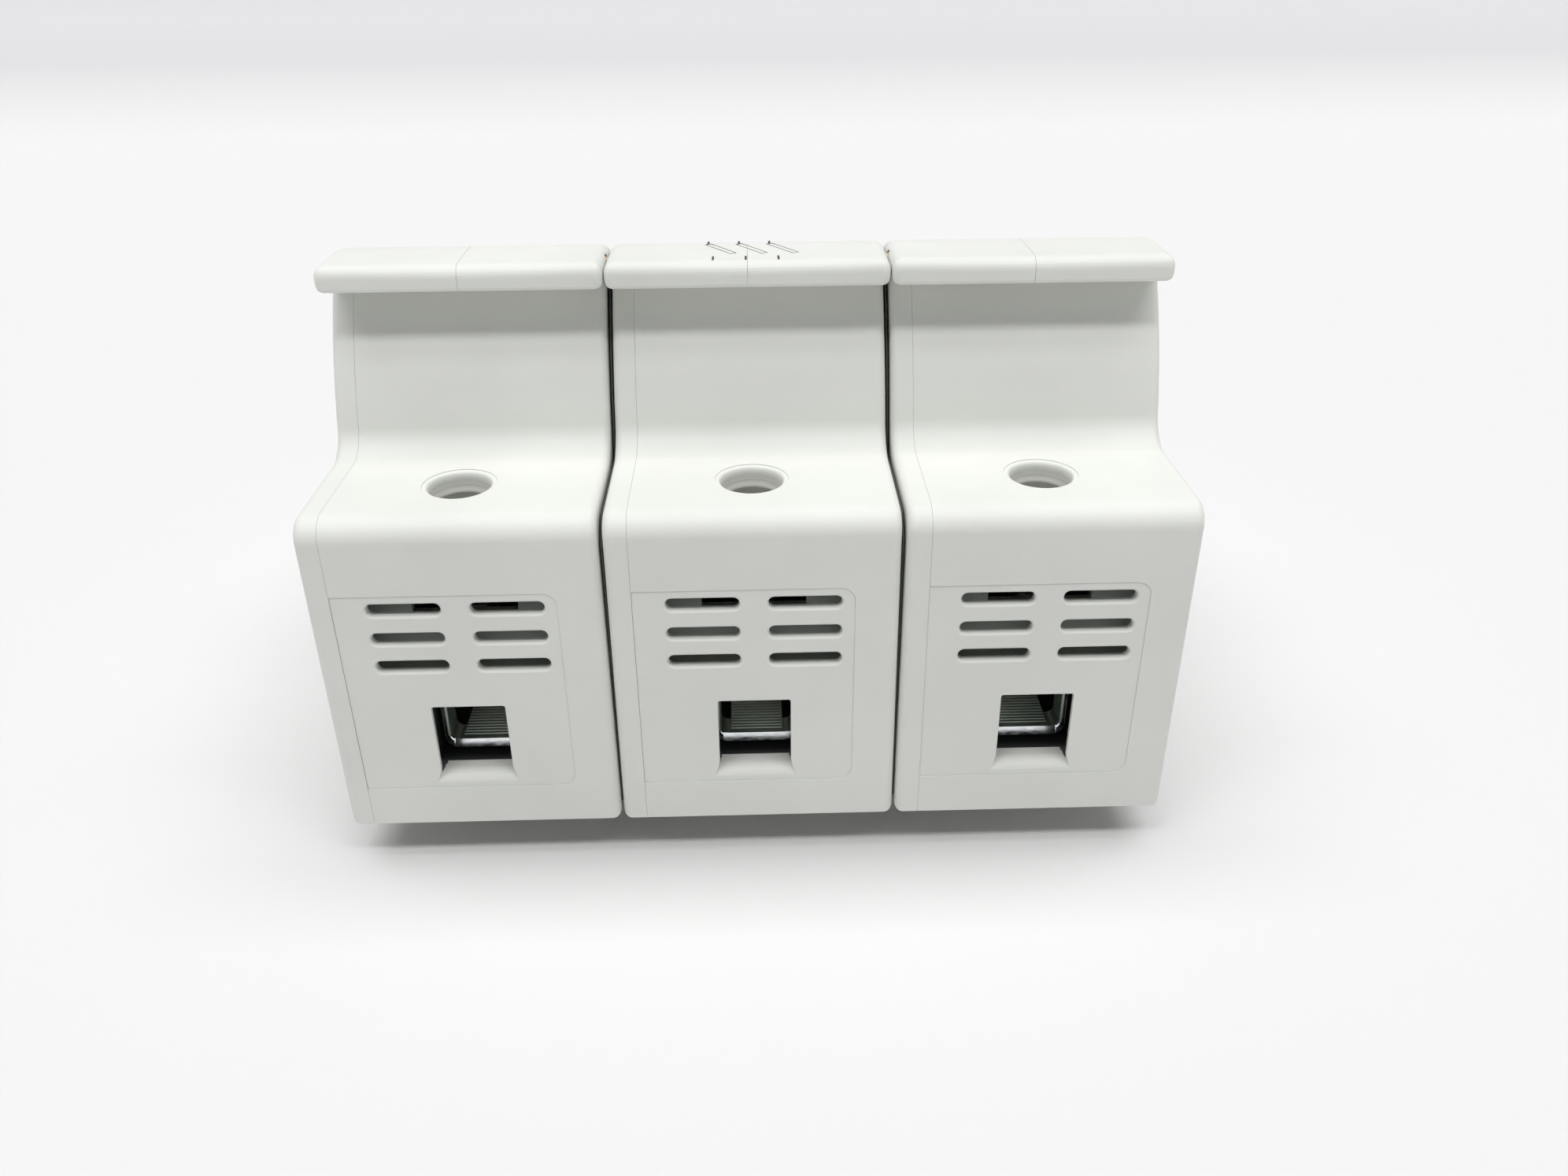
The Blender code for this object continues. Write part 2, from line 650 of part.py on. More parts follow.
def carrier_half():
    hinge = (HINGE_Y, HINGE_Z)
    over = -OVERCUT
    into_wall = BODY_X - BODY_WALL / 2
    past_rear = PLATE_REAR_Y + OVERCUT
    plan = [(over, LIP_FRONT_Y, 0), (over, past_rear, 0), (HALF_WIDTH, past_rear, 0),
            (HALF_WIDTH, LIP_FRONT_Y, PLATE_CORNER_R)]
    plate = common(extrude(plate_profile(), 2 * over, HALF_WIDTH + OVERCUT, "x"),
                   extrude(plan, BODY_LOW_Z, PLATE_TOP_Z + OVERCUT, "z"))
    wall = extrude(carrier_wall_profile(), BODY_X - BODY_WALL, BODY_X, "x")
    inner = CARRIER_R - CARRIER_WALL
    under = PLATE_TOP_Z - PLATE_THICK / 2
    front = extrude([*hinge_arc(CARRIER_R, BODY_LOW_Z, under, NECK_STEPS),
                     *hinge_arc(inner, under, BODY_LOW_Z, NECK_STEPS)],
                    over, into_wall, "x")
    start, end = (Vector(point) for point in BACK_TOP)
    down = Vector((end.y - start.y, start.x - end.x)).normalized() * BACK_WALL
    back = extrude([(*start, 0), (*end, 0), (*(end + down), 0), (*(start + down), 0)], over, into_wall, "x")
    drum = extrude([*arc(hinge, DRUM_R, DRUM_LOW_ANGLE, DRUM_HIGH_ANGLE, DRUM_STEPS),
                    *arc(hinge, DRUM_R - DRUM_WALL, DRUM_HIGH_ANGLE, DRUM_LOW_ANGLE, DRUM_STEPS)],
                   over, into_wall, "x")
    ribs = [carrier_rib(low, high) for low, high in RIB_Y]
    tab = box((over, TAB_Y[0], TAB_Z[0]), (TAB_HALF, TAB_Y[1], TAB_Z[1]))
    pin = rod(hinge, PIN_R, BODY_X - OVERCUT, PIN_END, "x", HOLE_SIDES)
    join(plate, wall, front, back, drum, *ribs, tab, pin)
    cut(plate, rod(TIE_YZ, TIE_BORE_R, HALF_WIDTH - TIE_BORE_DEPTH, HALF_WIDTH + OVERCUT, "x", SMALL_SIDES))
    return trim(plate, GAP / 2, True)


def carrier_rib(low, high):
    """A saddle rib over the fuse, from the plate down each side of the barrel."""
    split = -OVERCUT
    side = BODY_X - BODY_WALL / 2
    slope = tan(radians(PLATE_SLOPE))
    top = PLATE_TOP_Z - (high - PLATE_BEND_Y) * slope - RIB_SINK
    reach = degrees(asin((FUSE_Z - RIB_LOW_Z) / RIB_ARCH_R))
    foot = BODY_X - BODY_WALL
    arch = arc((0, FUSE_Z), RIB_ARCH_R, 90, -reach, ARCH_STEPS)
    outline = [(foot, RIB_LOW_Z, 0), (side, RIB_TAPER_Z, 0), (side, top, 0), (split, top, 0),
               (split, FUSE_Z + RIB_ARCH_R, 0), *arch]
    return extrude(outline, low, high, "y")


def opposite(solid):
    """The mirror image of a solid across the pole's centre plane."""
    mesh = solid.data.copy()
    mesh.transform(Matrix.Diagonal((-1, 1, 1, 1)))
    mesh.flip_normals()
    return helper("opposite", mesh)


# Fuse

ALONG_Y = Matrix.Rotation(radians(-90), 4, "X")
AGAINST_Y = Matrix.Rotation(radians(90), 4, "X")


def fuse_barrel():
    ends = (FUSE_Y[0] + CAP_END + GAP, FUSE_Y[1] - CAP_END - GAP)
    return rod((0, FUSE_Z), BARREL_R, *ends, "y", CAP_SIDES)


def fuse_cap(y, turn):
    """A ferrule, drawn with its closed end up."""
    profile = [
        (0, 0), (CAP_R - CAP_EDGE, 0), (CAP_R, -CAP_EDGE), (CAP_R, -CAP_LENGTH),
        (CAP_BORE_R, -CAP_LENGTH), (CAP_BORE_R, -CAP_END), (0, -CAP_END),
    ]
    return turned(profile, CAP_SIDES, turn, (0, y, FUSE_Z))


# Clips

def jaws(span_y, top, flared):
    low, high = CLIP_BASE_Z
    right = [(CLIP_OUTER, low, CLIP_BEND_R)]
    if flared:
        right += [(CLIP_OUTER, top, 0), (CLIP_OUTER + FLARE, FLARE_TOP, 0),
                  (CLIP_INNER + FLARE, FLARE_TOP, 0)]
    else:
        right += [(CLIP_OUTER, top, 0)]
    right += [(CLIP_INNER, top, 0), (CLIP_INNER, high, 0)]
    left = [(-x, z, radius) for x, z, radius in reversed(right)]
    return extrude(right + left, *span_y, "y")


def tongue(root_y):
    """The outline of the strap from a clip to its terminal, drawn at the line end."""
    low, high = CLIP_BASE_Z
    bend = TONGUE_BEND_R
    return [
        (root_y, low, 0), (STEP_Y[1], low, bend), (STEP_Y[0], TONGUE_Z[0], bend),
        (TONGUE_END, TONGUE_Z[0], 0), (TONGUE_END, TONGUE_Z[1], 0),
        (STEP_Y[0] + bend, TONGUE_Z[1], bend), (STEP_Y[1] + bend, high, bend), (root_y, high, 0),
    ]


def clip_line():
    strap = extrude(tongue(LINE_CLIP_Y[0] + OVERCUT), -TONGUE_HALF, TONGUE_HALF, "x")
    return join(jaws(LINE_CLIP_Y, LINE_CLIP_TOP, True), strap)


def clip_load():
    strap = extrude(mirrored(tongue(LENGTH - LOAD_CLIP_Y[1] + OVERCUT)), -TONGUE_HALF, TONGUE_HALF, "x")
    return join(jaws(LOAD_CLIP_Y, LOAD_CLIP_TOP, False), strap)


def clip_spring(span_y):
    low, high = BAND_BASE_Z
    right = [(BAND_OUTER, low, BAND_BEND_R), (BAND_OUTER, BAND_TOP_Z, 0), (BAND_INNER, BAND_TOP_Z, 0),
             (BAND_INNER, high, 0)]
    left = [(-x, z, radius) for x, z, radius in reversed(right)]
    return extrude(right + left, *span_y, "y")


# Terminal

def clamp_cage():
    """A clamp frame: a folded floor and sides under a thick threaded top plate."""
    outer = [(-CAGE_OUTER, CAGE_FLOOR_Z[0], CAGE_CORNER_R), (CAGE_OUTER, CAGE_FLOOR_Z[0], CAGE_CORNER_R),
             (CAGE_OUTER, CAGE_TOP_Z[1], 0), (-CAGE_OUTER, CAGE_TOP_Z[1], 0)]
    room = box((-CAGE_INNER, CAGE_Y[0] - OVERCUT, CAGE_FLOOR_Z[1]),
               (CAGE_INNER, CAGE_Y[1] + OVERCUT, CAGE_TOP_Z[0]))
    hole = rod((0, SCREW_Y), SHANK_ROOM_R, CAGE_TOP_Z[0] - OVERCUT, CAGE_TOP_Z[1] + OVERCUT, "z", HOLE_SIDES)
    notches = []
    for side in (-1, 1):
        low, high = sorted((side * CAGE_NOTCH_X, side * (CAGE_OUTER + OVERCUT)))
        notches.append(box((low, CAGE_NOTCH_Y, CAGE_FLOOR_Z[0] - OVERCUT),
                           (high, CAGE_Y[1] + OVERCUT, CAGE_NOTCH_Z)))
    return cut(extrude(outer, *CAGE_Y, "y"), room, hole, *notches)


def clamp_screw():
    low, high = HEAD_Z
    profile = [
        (0, high), (HEAD_R - HEAD_EDGE, high), (HEAD_R, high - HEAD_EDGE), (HEAD_R, low),
        (SHANK_R, low), (SHANK_R, SHANK_END_Z), (0, SHANK_END_Z),
    ]
    solid = turned(profile, HOLE_SIDES, Matrix.Identity(4), (0, SCREW_Y, 0))
    slot = box((-HEAD_R - OVERCUT, SCREW_Y - DRIVE_SLOT / 2, high - DRIVE_DEPTH),
               (HEAD_R + OVERCUT, SCREW_Y + DRIVE_SLOT / 2, high + OVERCUT))
    return cut(solid, slot)


def at_load_end(solid):
    """The same piece turned half round to the load end."""
    mesh = solid.data.copy()
    mesh.transform(Matrix.Translation((0, LENGTH * MM, 0)) @ Matrix.Rotation(pi, 4, "Z"))
    return helper("turned_round", mesh)


# Rail latch

def rail_latch():
    plan = [(-LATCH_HALF, LATCH_TIP_Y, LATCH_TIP_R), (LATCH_HALF, LATCH_TIP_Y, LATCH_TIP_R),
            (LATCH_HALF, LATCH_END_Y, LATCH_END_R), (-LATCH_HALF, LATCH_END_Y, LATCH_END_R)]
    solid = extrude(plan, HOOK_LOW_Z, HOOK_HIGH_Z, "z")
    before_tip = LATCH_TIP_Y - OVERCUT
    below = HOOK_LOW_Z - OVERCUT
    ramp = [(before_tip, below, 0), (LATCH_TIP_Y + LATCH_RAMP, below, 0),
            (before_tip, HOOK_LOW_Z + LATCH_RAMP, 0)]
    above = HOOK_HIGH_Z + OVERCUT
    window = box((-WINDOW_HALF, WINDOW_Y[0], 0), (WINDOW_HALF, WINDOW_Y[1], above))
    pull = box((-PULL_HALF, PULL_Y[0], 0), (PULL_HALF, PULL_Y[1], above))
    return cut(solid, extrude(ramp, -LATCH_HALF - OVERCUT, LATCH_HALF + OVERCUT, "x"), window, pull)


def spring_path():
    """Points along a leaf folded to and fro between the latch and the peg, its ends lying across."""
    low = WINDOW_Y[0] + GAP + SPRING_LEAF / 2
    high = PEG_Y[0] - GAP - SPRING_LEAF / 2
    across = SPRING_HALF - SPRING_LEAF / 2
    corners = [(-across, low, 0)]
    for fold in range(SPRING_FOLDS):
        side = across if fold % 2 == 0 else -across
        y = low + (high - low) * fold / SPRING_FOLDS
        next_y = low + (high - low) * (fold + 1) / SPRING_FOLDS
        corners += [(side, y, SPRING_BEND_R), (side, next_y, SPRING_BEND_R)]
    corners.append((-corners[-1][0], high, 0))
    return rounded(corners, VENT_STEP)


def latch_spring():
    path = spring_path()
    shape = bmesh.new()
    z = (HOOK_LOW_Z + GAP, HOOK_HIGH_Z - GAP)
    verts = [shape.verts.new((x * MM, y * MM, z[0] * MM)) for x, y in path]
    edges = [shape.edges.new(pair) for pair in zip(verts, verts[1:])]
    raised = bmesh.ops.extrude_edge_only(shape, edges=edges)["geom"]
    tops = [item for item in raised if isinstance(item, bmesh.types.BMVert)]
    bmesh.ops.translate(shape, verts=tops, vec=(0, 0, (z[1] - z[0]) * MM))
    mesh = bpy.data.meshes.new("leaf")
    shape.to_mesh(mesh)
    shape.free()
    leaf = helper("leaf", mesh)
    solidify = leaf.modifiers.new("thickness", "SOLIDIFY")
    solidify.thickness = SPRING_LEAF * MM
    solidify.offset = 0
    leaf.data = evaluated(leaf, drawn=True)
    leaf.modifiers.clear()
    return leaf


# The poles

hinge = bpy.data.objects.new("carrier_hinge", None)
hinge.location = Vector((0, HINGE_Y - LENGTH / 2, HINGE_Z)) * MM
PARTS.objects.link(hinge)

right_half = carrier_half()
line_cage = clamp_cage()
line_screw = clamp_screw()
AT_HINGE = (0.0, HINGE_Y, HINGE_Z)
AT_LINE_SCREW = (0.0, SCREW_Y, SHOULDER_Z)
AT_LOAD_SCREW = (0.0, LENGTH - SCREW_Y, SHOULDER_Z)
AT_LATCH = (0.0, LATCH_TIP_Y, HOOK_LOW_Z)
PIECES = [
    ("housing_main", housing_main(), HOUSING_GREY, (0, 0, 0)),
    ("housing_cover", housing_cover(), HOUSING_GREY, (0, 0, 0)),
    ("clip_line", clip_line(), COPPER, (0, 0, 0)),
    ("clip_load", clip_load(), COPPER, (0, 0, 0)),
    ("clip_spring_line", clip_spring(LINE_BAND_Y), STEEL, (0, 0, 0)),
    ("clip_spring_load", clip_spring(LOAD_BAND_Y), STEEL, (0, 0, 0)),
    ("clamp_cage_load", at_load_end(line_cage), ZINC, AT_LOAD_SCREW),
    ("clamp_cage_line", line_cage, ZINC, AT_LINE_SCREW),
    ("clamp_screw_load", at_load_end(line_screw), STEEL, AT_LOAD_SCREW),
    ("clamp_screw_line", line_screw, STEEL, AT_LINE_SCREW),
    ("rail_latch", rail_latch(), LATCH_GREY, AT_LATCH),
    ("latch_spring", latch_spring(), STEEL, (0, 0, 0)),
    ("carrier_left", opposite(right_half), HANDLE_GREY, AT_HINGE),
    ("carrier_right", right_half, HANDLE_GREY, AT_HINGE),
    ("fuse_barrel", fuse_barrel(), FIBRE, AT_HINGE),
    ("fuse_cap_line", fuse_cap(FUSE_Y[0], AGAINST_Y), BRASS, AT_HINGE),
    ("fuse_cap_load", fuse_cap(FUSE_Y[1], ALONG_Y), BRASS, AT_HINGE),
]
POLE_X = [(pole - (len(POLES) - 1) / 2) * POLE_PITCH for pole in range(len(POLES))]
for number, pole_x in zip(POLES, POLE_X):
    for name, solid, color, origin in PIECES:
        swings = hinge if origin == AT_HINGE else None
        node(f"{name}_{number}", solid, color, pole_x, origin, swings)

# What runs across the poles
for index, (left, right) in enumerate(zip(POLE_X, POLE_X[1:])):
    between = (left + right) / 2
    tie = rod(TIE_YZ, TIE_R, -TIE_HALF, TIE_HALF, "x", SMALL_SIDES)
    node(f"handle_tie_{index + 1}", tie, STEEL, between, AT_HINGE, hinge)
across = POLE_X[-1] + HALF_WIDTH - RIVET_RECESS
for index, place in enumerate(RIVET_YZ):
    rivet = rod(place, RIVET_R, -across, across, "x", SMALL_SIDES)
    node(f"through_rivet_{index + 1}", rivet, STEEL, 0.0)
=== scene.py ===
import json
from math import asin, cos, pi, radians, sin, sqrt, tan

import bmesh
import bpy
from mathutils import Matrix, Vector


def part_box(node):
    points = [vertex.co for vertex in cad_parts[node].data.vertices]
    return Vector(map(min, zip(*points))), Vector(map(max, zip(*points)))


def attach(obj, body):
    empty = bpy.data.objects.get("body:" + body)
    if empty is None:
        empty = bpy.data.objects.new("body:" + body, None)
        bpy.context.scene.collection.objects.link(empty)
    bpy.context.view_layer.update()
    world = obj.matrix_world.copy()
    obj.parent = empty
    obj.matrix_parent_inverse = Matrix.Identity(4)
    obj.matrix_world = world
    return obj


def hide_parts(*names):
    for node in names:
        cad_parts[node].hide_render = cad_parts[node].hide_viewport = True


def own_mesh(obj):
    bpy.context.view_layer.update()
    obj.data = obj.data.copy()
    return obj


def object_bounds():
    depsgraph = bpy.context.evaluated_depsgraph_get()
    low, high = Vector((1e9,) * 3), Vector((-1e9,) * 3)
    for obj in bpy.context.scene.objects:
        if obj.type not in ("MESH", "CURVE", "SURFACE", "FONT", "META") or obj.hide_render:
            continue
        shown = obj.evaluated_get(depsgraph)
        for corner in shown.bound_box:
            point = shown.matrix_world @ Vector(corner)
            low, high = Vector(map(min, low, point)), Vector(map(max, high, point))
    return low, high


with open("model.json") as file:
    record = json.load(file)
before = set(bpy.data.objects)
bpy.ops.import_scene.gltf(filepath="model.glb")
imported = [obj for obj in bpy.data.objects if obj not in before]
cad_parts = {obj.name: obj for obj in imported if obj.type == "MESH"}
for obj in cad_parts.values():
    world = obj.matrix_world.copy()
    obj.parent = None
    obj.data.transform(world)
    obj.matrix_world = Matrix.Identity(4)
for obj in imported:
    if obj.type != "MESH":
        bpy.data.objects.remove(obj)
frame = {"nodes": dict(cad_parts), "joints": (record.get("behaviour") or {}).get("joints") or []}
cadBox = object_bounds()
print("frame loaded:", len(frame["nodes"]), "nodes")

# Pieces are drawn in pole millimetres: x from the pole's middle, y from the line end, z up from the feet
mm = 0.001
poles = ["1", "2", "3"]
lineEndY = cadBox[0][1]
unitLength = (cadBox[1][1] - cadBox[0][1]) / mm
poleMiddle = {n: sum(corner.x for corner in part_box("clamp_screw_line_" + n)) / 2 for n in poles}
hingeAt = Vector(next(j for j in frame["joints"] if j["name"] == "carrier_swing")["pos_m"])
hingeY, hingeZ = (hingeAt.y - lineEndY) / mm, hingeAt.z / mm
halfWidth = 19.7
weldDistance = 0.0005
slack = 0.01  # for telling which faces lie where


# drawing helpers

def roundCorner(bm, vert, radius, steps):
    ends = [edge.other_vert(vert).co - vert.co for edge in vert.link_edges]
    reach = radius / tan(ends[0].angle(ends[1]) / 2)  # from the corner to where the arc starts
    bmesh.ops.bevel(bm, geom=[vert], affect="VERTICES", offset=reach, segments=steps, profile=0.5, material=-1)


def faceOut(bm):
    bmesh.ops.recalc_face_normals(bm, faces=bm.faces[:])
    return bm


def weld(bm):
    bmesh.ops.remove_doubles(bm, verts=bm.verts[:], dist=weldDistance)


def moveAll(bm, matrix):
    bmesh.ops.transform(bm, matrix=matrix, verts=bm.verts[:])


def onlyVerts(geom):
    return [item for item in geom if isinstance(item, bmesh.types.BMVert)]


def roundEdges(bm, edges, width, steps, clamp=False):
    bmesh.ops.bevel(bm, geom=edges, affect="EDGES", offset=width, offset_type="OFFSET", segments=steps, profile=0.5,
                    material=-1, clamp_overlap=clamp)


def rectangle(u0, v0, u1, v1, radius):
    return [(u0, v0, radius), (u1, v0, radius), (u1, v1, radius), (u0, v1, radius)]


def flatVerts(bm, *corners):
    return [bm.verts.new((*corner[:2], 0)) for corner in corners]


def drawOutline(corners, steps=6):
    # corners are (u, v, radius), drawn flat and then rounded
    bm = bmesh.new()
    verts = flatVerts(bm, *corners)
    bm.faces.new(verts)
    for vert, corner in zip(verts, corners):
        if corner[2]:
            roundCorner(bm, vert, corner[2], steps)
    return bm


def sweepArc(bm, start, centre, degrees, steps):
    # spins one point about a centre and gives the points in order
    first = bm.verts.new((start[0], start[1], 0))
    have = set(bm.verts)
    bmesh.ops.spin(bm, geom=[first], cent=(*centre, 0), axis=(0, 0, 1), angle=radians(degrees), steps=steps,
                   use_merge=False)
    return [first] + [vert for vert in bm.verts if vert not in have]


def thicken(bm, depth):
    # gives a flat outline its thickness, from 0 to depth
    raised = bmesh.ops.extrude_face_region(bm, geom=bm.faces[:])["geom"]
    bmesh.ops.translate(bm, verts=onlyVerts(raised), vec=(0, 0, depth))
    return faceOut(bm)


turns = {
    "x": Matrix(((0, 0, 1), (1, 0, 0), (0, 1, 0))).to_4x4(),  # outline is (y, z)
    "y": Matrix(((1, 0, 0), (0, 0, 1), (0, 1, 0))).to_4x4(),  # outline is (x, z)
    "z": Matrix.Identity(4),
}


def lay(bm, axis, start):
    # turns a drawn solid so that its thickness runs along an axis from start
    along = {"x": (start, 0, 0), "y": (0, start, 0), "z": (0, 0, start)}[axis]
    moveAll(bm, Matrix.Translation(along) @ turns[axis])
    return faceOut(bm)


def block(corners, low, high, axis, steps=6):
    return lay(thicken(drawOutline(corners, steps), high - low), axis, low)


def cuboid(low, high):
    bm = bmesh.new()
    size = Vector(high) - Vector(low)
    middle = Matrix.Translation((Vector(high) + Vector(low)) / 2)
    bmesh.ops.create_cube(bm, size=1, matrix=middle @ Matrix.Diagonal((*size, 1)))
    return bm


def roomBox(half, spanY, spanZ):
    # a block across the pole's middle
    return cuboid((-half, spanY[0], spanZ[0]), (half, spanY[1], spanZ[1]))


def spinRound(profile, centre, axis, steps):
    # profile is (radius, height) from one end to the other, spun about the axis through centre
    bm = bmesh.new()
    verts = [bm.verts.new((radius, 0, height)) for radius, height in profile]
    edges = [bm.edges.new(pair) for pair in zip(verts, verts[1:])]
    bmesh.ops.spin(bm, geom=verts + edges, cent=(0, 0, 0), axis=(0, 0, 1), angle=2 * pi, steps=steps, use_merge=True)
    weld(bm)
    stand = {"z": Matrix.Identity(4), "y": Matrix.Rotation(-pi / 2, 4, "X"), "x": Matrix.Rotation(pi / 2, 4, "Y")}
    moveAll(bm, Matrix.Translation(centre) @ stand[axis])
    return faceOut(bm)


def softenSharp(bm, width, steps, least=50):
    sharp = [edge for edge in bm.edges if len(edge.link_faces) == 2 and edge.calc_face_angle() > radians(least)]
    roundEdges(bm, sharp, width, steps, clamp=True)


def asObject(bm, name="shape"):
    mesh = bpy.data.meshes.new(name)
    bm.to_mesh(mesh)
    bm.free()
    made = bpy.data.objects.new(name, mesh)
    bpy.context.scene.collection.objects.link(made)
    return made


def combine(target, tools, operation):
    # target and tools are bmeshes, and each Boolean is applied and welded before the next
    for tool in tools:
        body, cutter = asObject(target), asObject(tool, "cutter")
        change = body.modifiers.new("cut", "BOOLEAN")
        change.operation = operation
        change.solver = "EXACT"
        change.object = cutter
        target = evaluated(body)
        bpy.data.objects.remove(cutter)
        weld(target)
        bmesh.ops.dissolve_degenerate(target, dist=weldDistance, edges=target.edges[:])
    return target


def cut(target, *tools):
    return combine(target, tools, "DIFFERENCE")


def join(target, *tools):
    return combine(target, tools, "UNION")


def turnedCopy(bm, matrix):
    other = bm.copy()
    moveAll(other, matrix)
    return other


def mirrorCopy(bm, matrix):
    # a mirrored copy, turned the right way out
    other = turnedCopy(bm, matrix)
    bmesh.ops.reverse_faces(other, faces=other.faces[:])
    return other


def evaluated(piece):
    # the mesh that an object's modifiers give, as a bmesh, and the object is let go
    bpy.context.view_layer.update()
    mesh = bpy.data.meshes.new_from_object(piece.evaluated_get(bpy.context.evaluated_depsgraph_get()))
    bpy.data.objects.remove(piece)
    bm = bmesh.new()
    bm.from_mesh(mesh)
    return bm


toLoadEnd = Matrix.Translation((0, unitLength, 0)) @ Matrix.Diagonal((1, -1, 1, 1))
halfRound = Matrix.Translation((0, unitLength, 0)) @ Matrix.Rotation(pi, 4, "Z")
acrossPole = Matrix.Diagonal((-1, 1, 1, 1))


def finishPiece(bm, name, pole, looks, body, node, sharp=35):
    # one pole's copy of a drawn shape, in the frame's metres
    mesh = bpy.data.meshes.new(name)
    bm.to_mesh(mesh)
    middle = poleMiddle[pole] if pole else 0
    mesh.transform(Matrix.Translation((middle, lineEndY, 0)) @ Matrix.Scale(mm, 4))
    mesh.shade_smooth()
    mesh.set_sharp_from_angle(angle=radians(sharp))
    for look in looks:
        mesh.materials.append(look)
    piece = bpy.data.objects.new(name, mesh)
    bpy.context.scene.collection.objects.link(piece)
    even = piece.modifiers.new("evenNormals", "WEIGHTED_NORMAL")
    even.keep_sharp = True
    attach(piece, body)
    if node:
        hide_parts(node)
    return piece


# the moulded housing of one pole

housing = {
    "partingX": -16.4, "seam": 0.03, "leanLow": 0.15, "leanHigh": -0.1, "sideEdge": 1.2, "sideEdgeSteps": 4,
    "cornerSteps": 10, "endLift": 7.0, "endSlope": 0.6, "footY": 16.0,
    "shoulderZ": 55.95, "shoulderEdge": 3.4, "cove": 5.0,
    "neckRadius": 64.8, "neckFootZ": 61.1, "neckSteps": 20, "cheekZ": 78.0, "cheekBendY": 38.5, "cheekBend": 6.0,
    "earZ": 58.0, "earFrontY": 77.7, "earRearY": 93.0, "earFootY": 98.0, "earFront": 4.0, "earRear": 3.0,
    "railY": 62.0, "notchHalf": 17.8, "notchZ": 6.2, "seatHalf": 15.6, "seatZ": 6.0,
    "hookReach": 1.8, "hookLowZ": 2.0, "hookHighZ": 4.9, "hookRamp": 3.0,
    "chamberRadius": 62.6, "chamberFloorZ": 18.8, "chamberTopZ": 84.0, "sideWallX": 17.5,
    "rearWallY": 99.0, "rearTopY": 104.6, "drumRoom": 16.4, "drumRoomTop": 15.0, "drumSteps": 12,
    "pinBore": 3.15, "pinBoreEnd": 19.25, "over": 1.0,
}


def onArc(radius, z):
    return hingeY - sqrt(radius ** 2 - (z - hingeZ) ** 2)


def lineArc(bm, radius, fromZ, toZ, steps):
    # an arc about the hinge between two heights on its line side
    turn = -(asin((toZ - hingeZ) / radius) - asin((fromZ - hingeZ) / radius)) * 180 / pi
    return sweepArc(bm, (onArc(radius, fromZ), fromZ), (hingeY, hingeZ), turn, steps)


def hubArc(bm, radius, first, last, steps):
    # an arc about the hinge between two angles
    start = (hingeY + radius * cos(radians(first)), hingeZ + radius * sin(radians(first)))
    return sweepArc(bm, start, (hingeY, hingeZ), last - first, steps)


def housingOutline():
    h, bm, rounds = housing, bmesh.new(), []

    def side(*corners):
        # corners are (y, z), with a radius where they are rounded
        verts = flatVerts(bm, *corners)
        rounds.extend((vert, corner[2]) for vert, corner in zip(verts, corners) if len(corner) > 2)
        return verts

    notchLow, notchHigh = h["railY"] - h["notchHalf"], h["railY"] + h["notchHalf"]
    seatLow, seatHigh = h["railY"] - h["seatHalf"], h["railY"] + h["seatHalf"]
    hookY, loadFoot, footTop = notchLow + h["hookReach"], unitLength - h["footY"], h["endLift"] - h["endSlope"]
    lineSide = side((0, h["endLift"]), (0, h["shoulderZ"], h["shoulderEdge"]),
                    (onArc(h["neckRadius"], h["shoulderZ"]), h["shoulderZ"], h["cove"]))
    neck = lineArc(bm, h["neckRadius"], h["neckFootZ"], h["cheekZ"], h["neckSteps"])
    topSide = side((h["cheekBendY"], h["cheekZ"], h["cheekBend"]), (h["earFrontY"], h["earZ"], h["earFront"]),
                   (h["earRearY"], h["earZ"], h["earRear"]), (h["earFootY"], h["shoulderZ"], h["earRear"]),
                   (unitLength, h["shoulderZ"], h["shoulderEdge"]), (unitLength, h["endLift"]))
    underside = side((loadFoot, footTop), (loadFoot, 0), (notchHigh, 0), (notchHigh, h["notchZ"]),
                     (seatHigh, h["notchZ"]), (seatHigh, h["seatZ"]), (seatLow, h["seatZ"]), (seatLow, h["notchZ"]),
                     (notchLow, h["notchZ"]), (notchLow, h["hookHighZ"]), (hookY, h["hookHighZ"]),
                     (hookY, h["hookLowZ"]), (hookY - h["hookRamp"], 0), (h["footY"], 0), (h["footY"], footTop))
    bm.faces.new(lineSide + neck + topSide + underside)
    for vert, radius in rounds:
        roundCorner(bm, vert, radius, h["cornerSteps"])
    return bm


def housingSlab(width):
    # the outline from the parting face at 0 out to a rounded side
    bm = thicken(housingOutline(), width)
    rim = [edge for edge in bm.edges if all(abs(vert.co.z - width) < weldDistance for vert in edge.verts)]
    roundEdges(bm, rim, housing["sideEdge"], housing["sideEdgeSteps"])
    return bm


def chamberCutter(low, high):
    h = housing
    bm = bmesh.new()
    front = lineArc(bm, h["chamberRadius"], h["chamberFloorZ"], h["chamberTopZ"], 2 * h["neckSteps"])
    top = flatVerts(bm, (h["rearTopY"], h["chamberTopZ"]), (h["rearTopY"], h["shoulderZ"]))
    lowest = -asin(sqrt(h["drumRoom"] ** 2 - (h["rearWallY"] - hingeY) ** 2) / h["drumRoom"]) * 180 / pi
    drum = hubArc(bm, h["drumRoom"], h["drumRoomTop"], lowest, h["drumSteps"])
    bm.faces.new(front + top + drum + flatVerts(bm, (h["rearWallY"], h["chamberFloorZ"])))
    return lay(thicken(bm, high - low), "x", low)


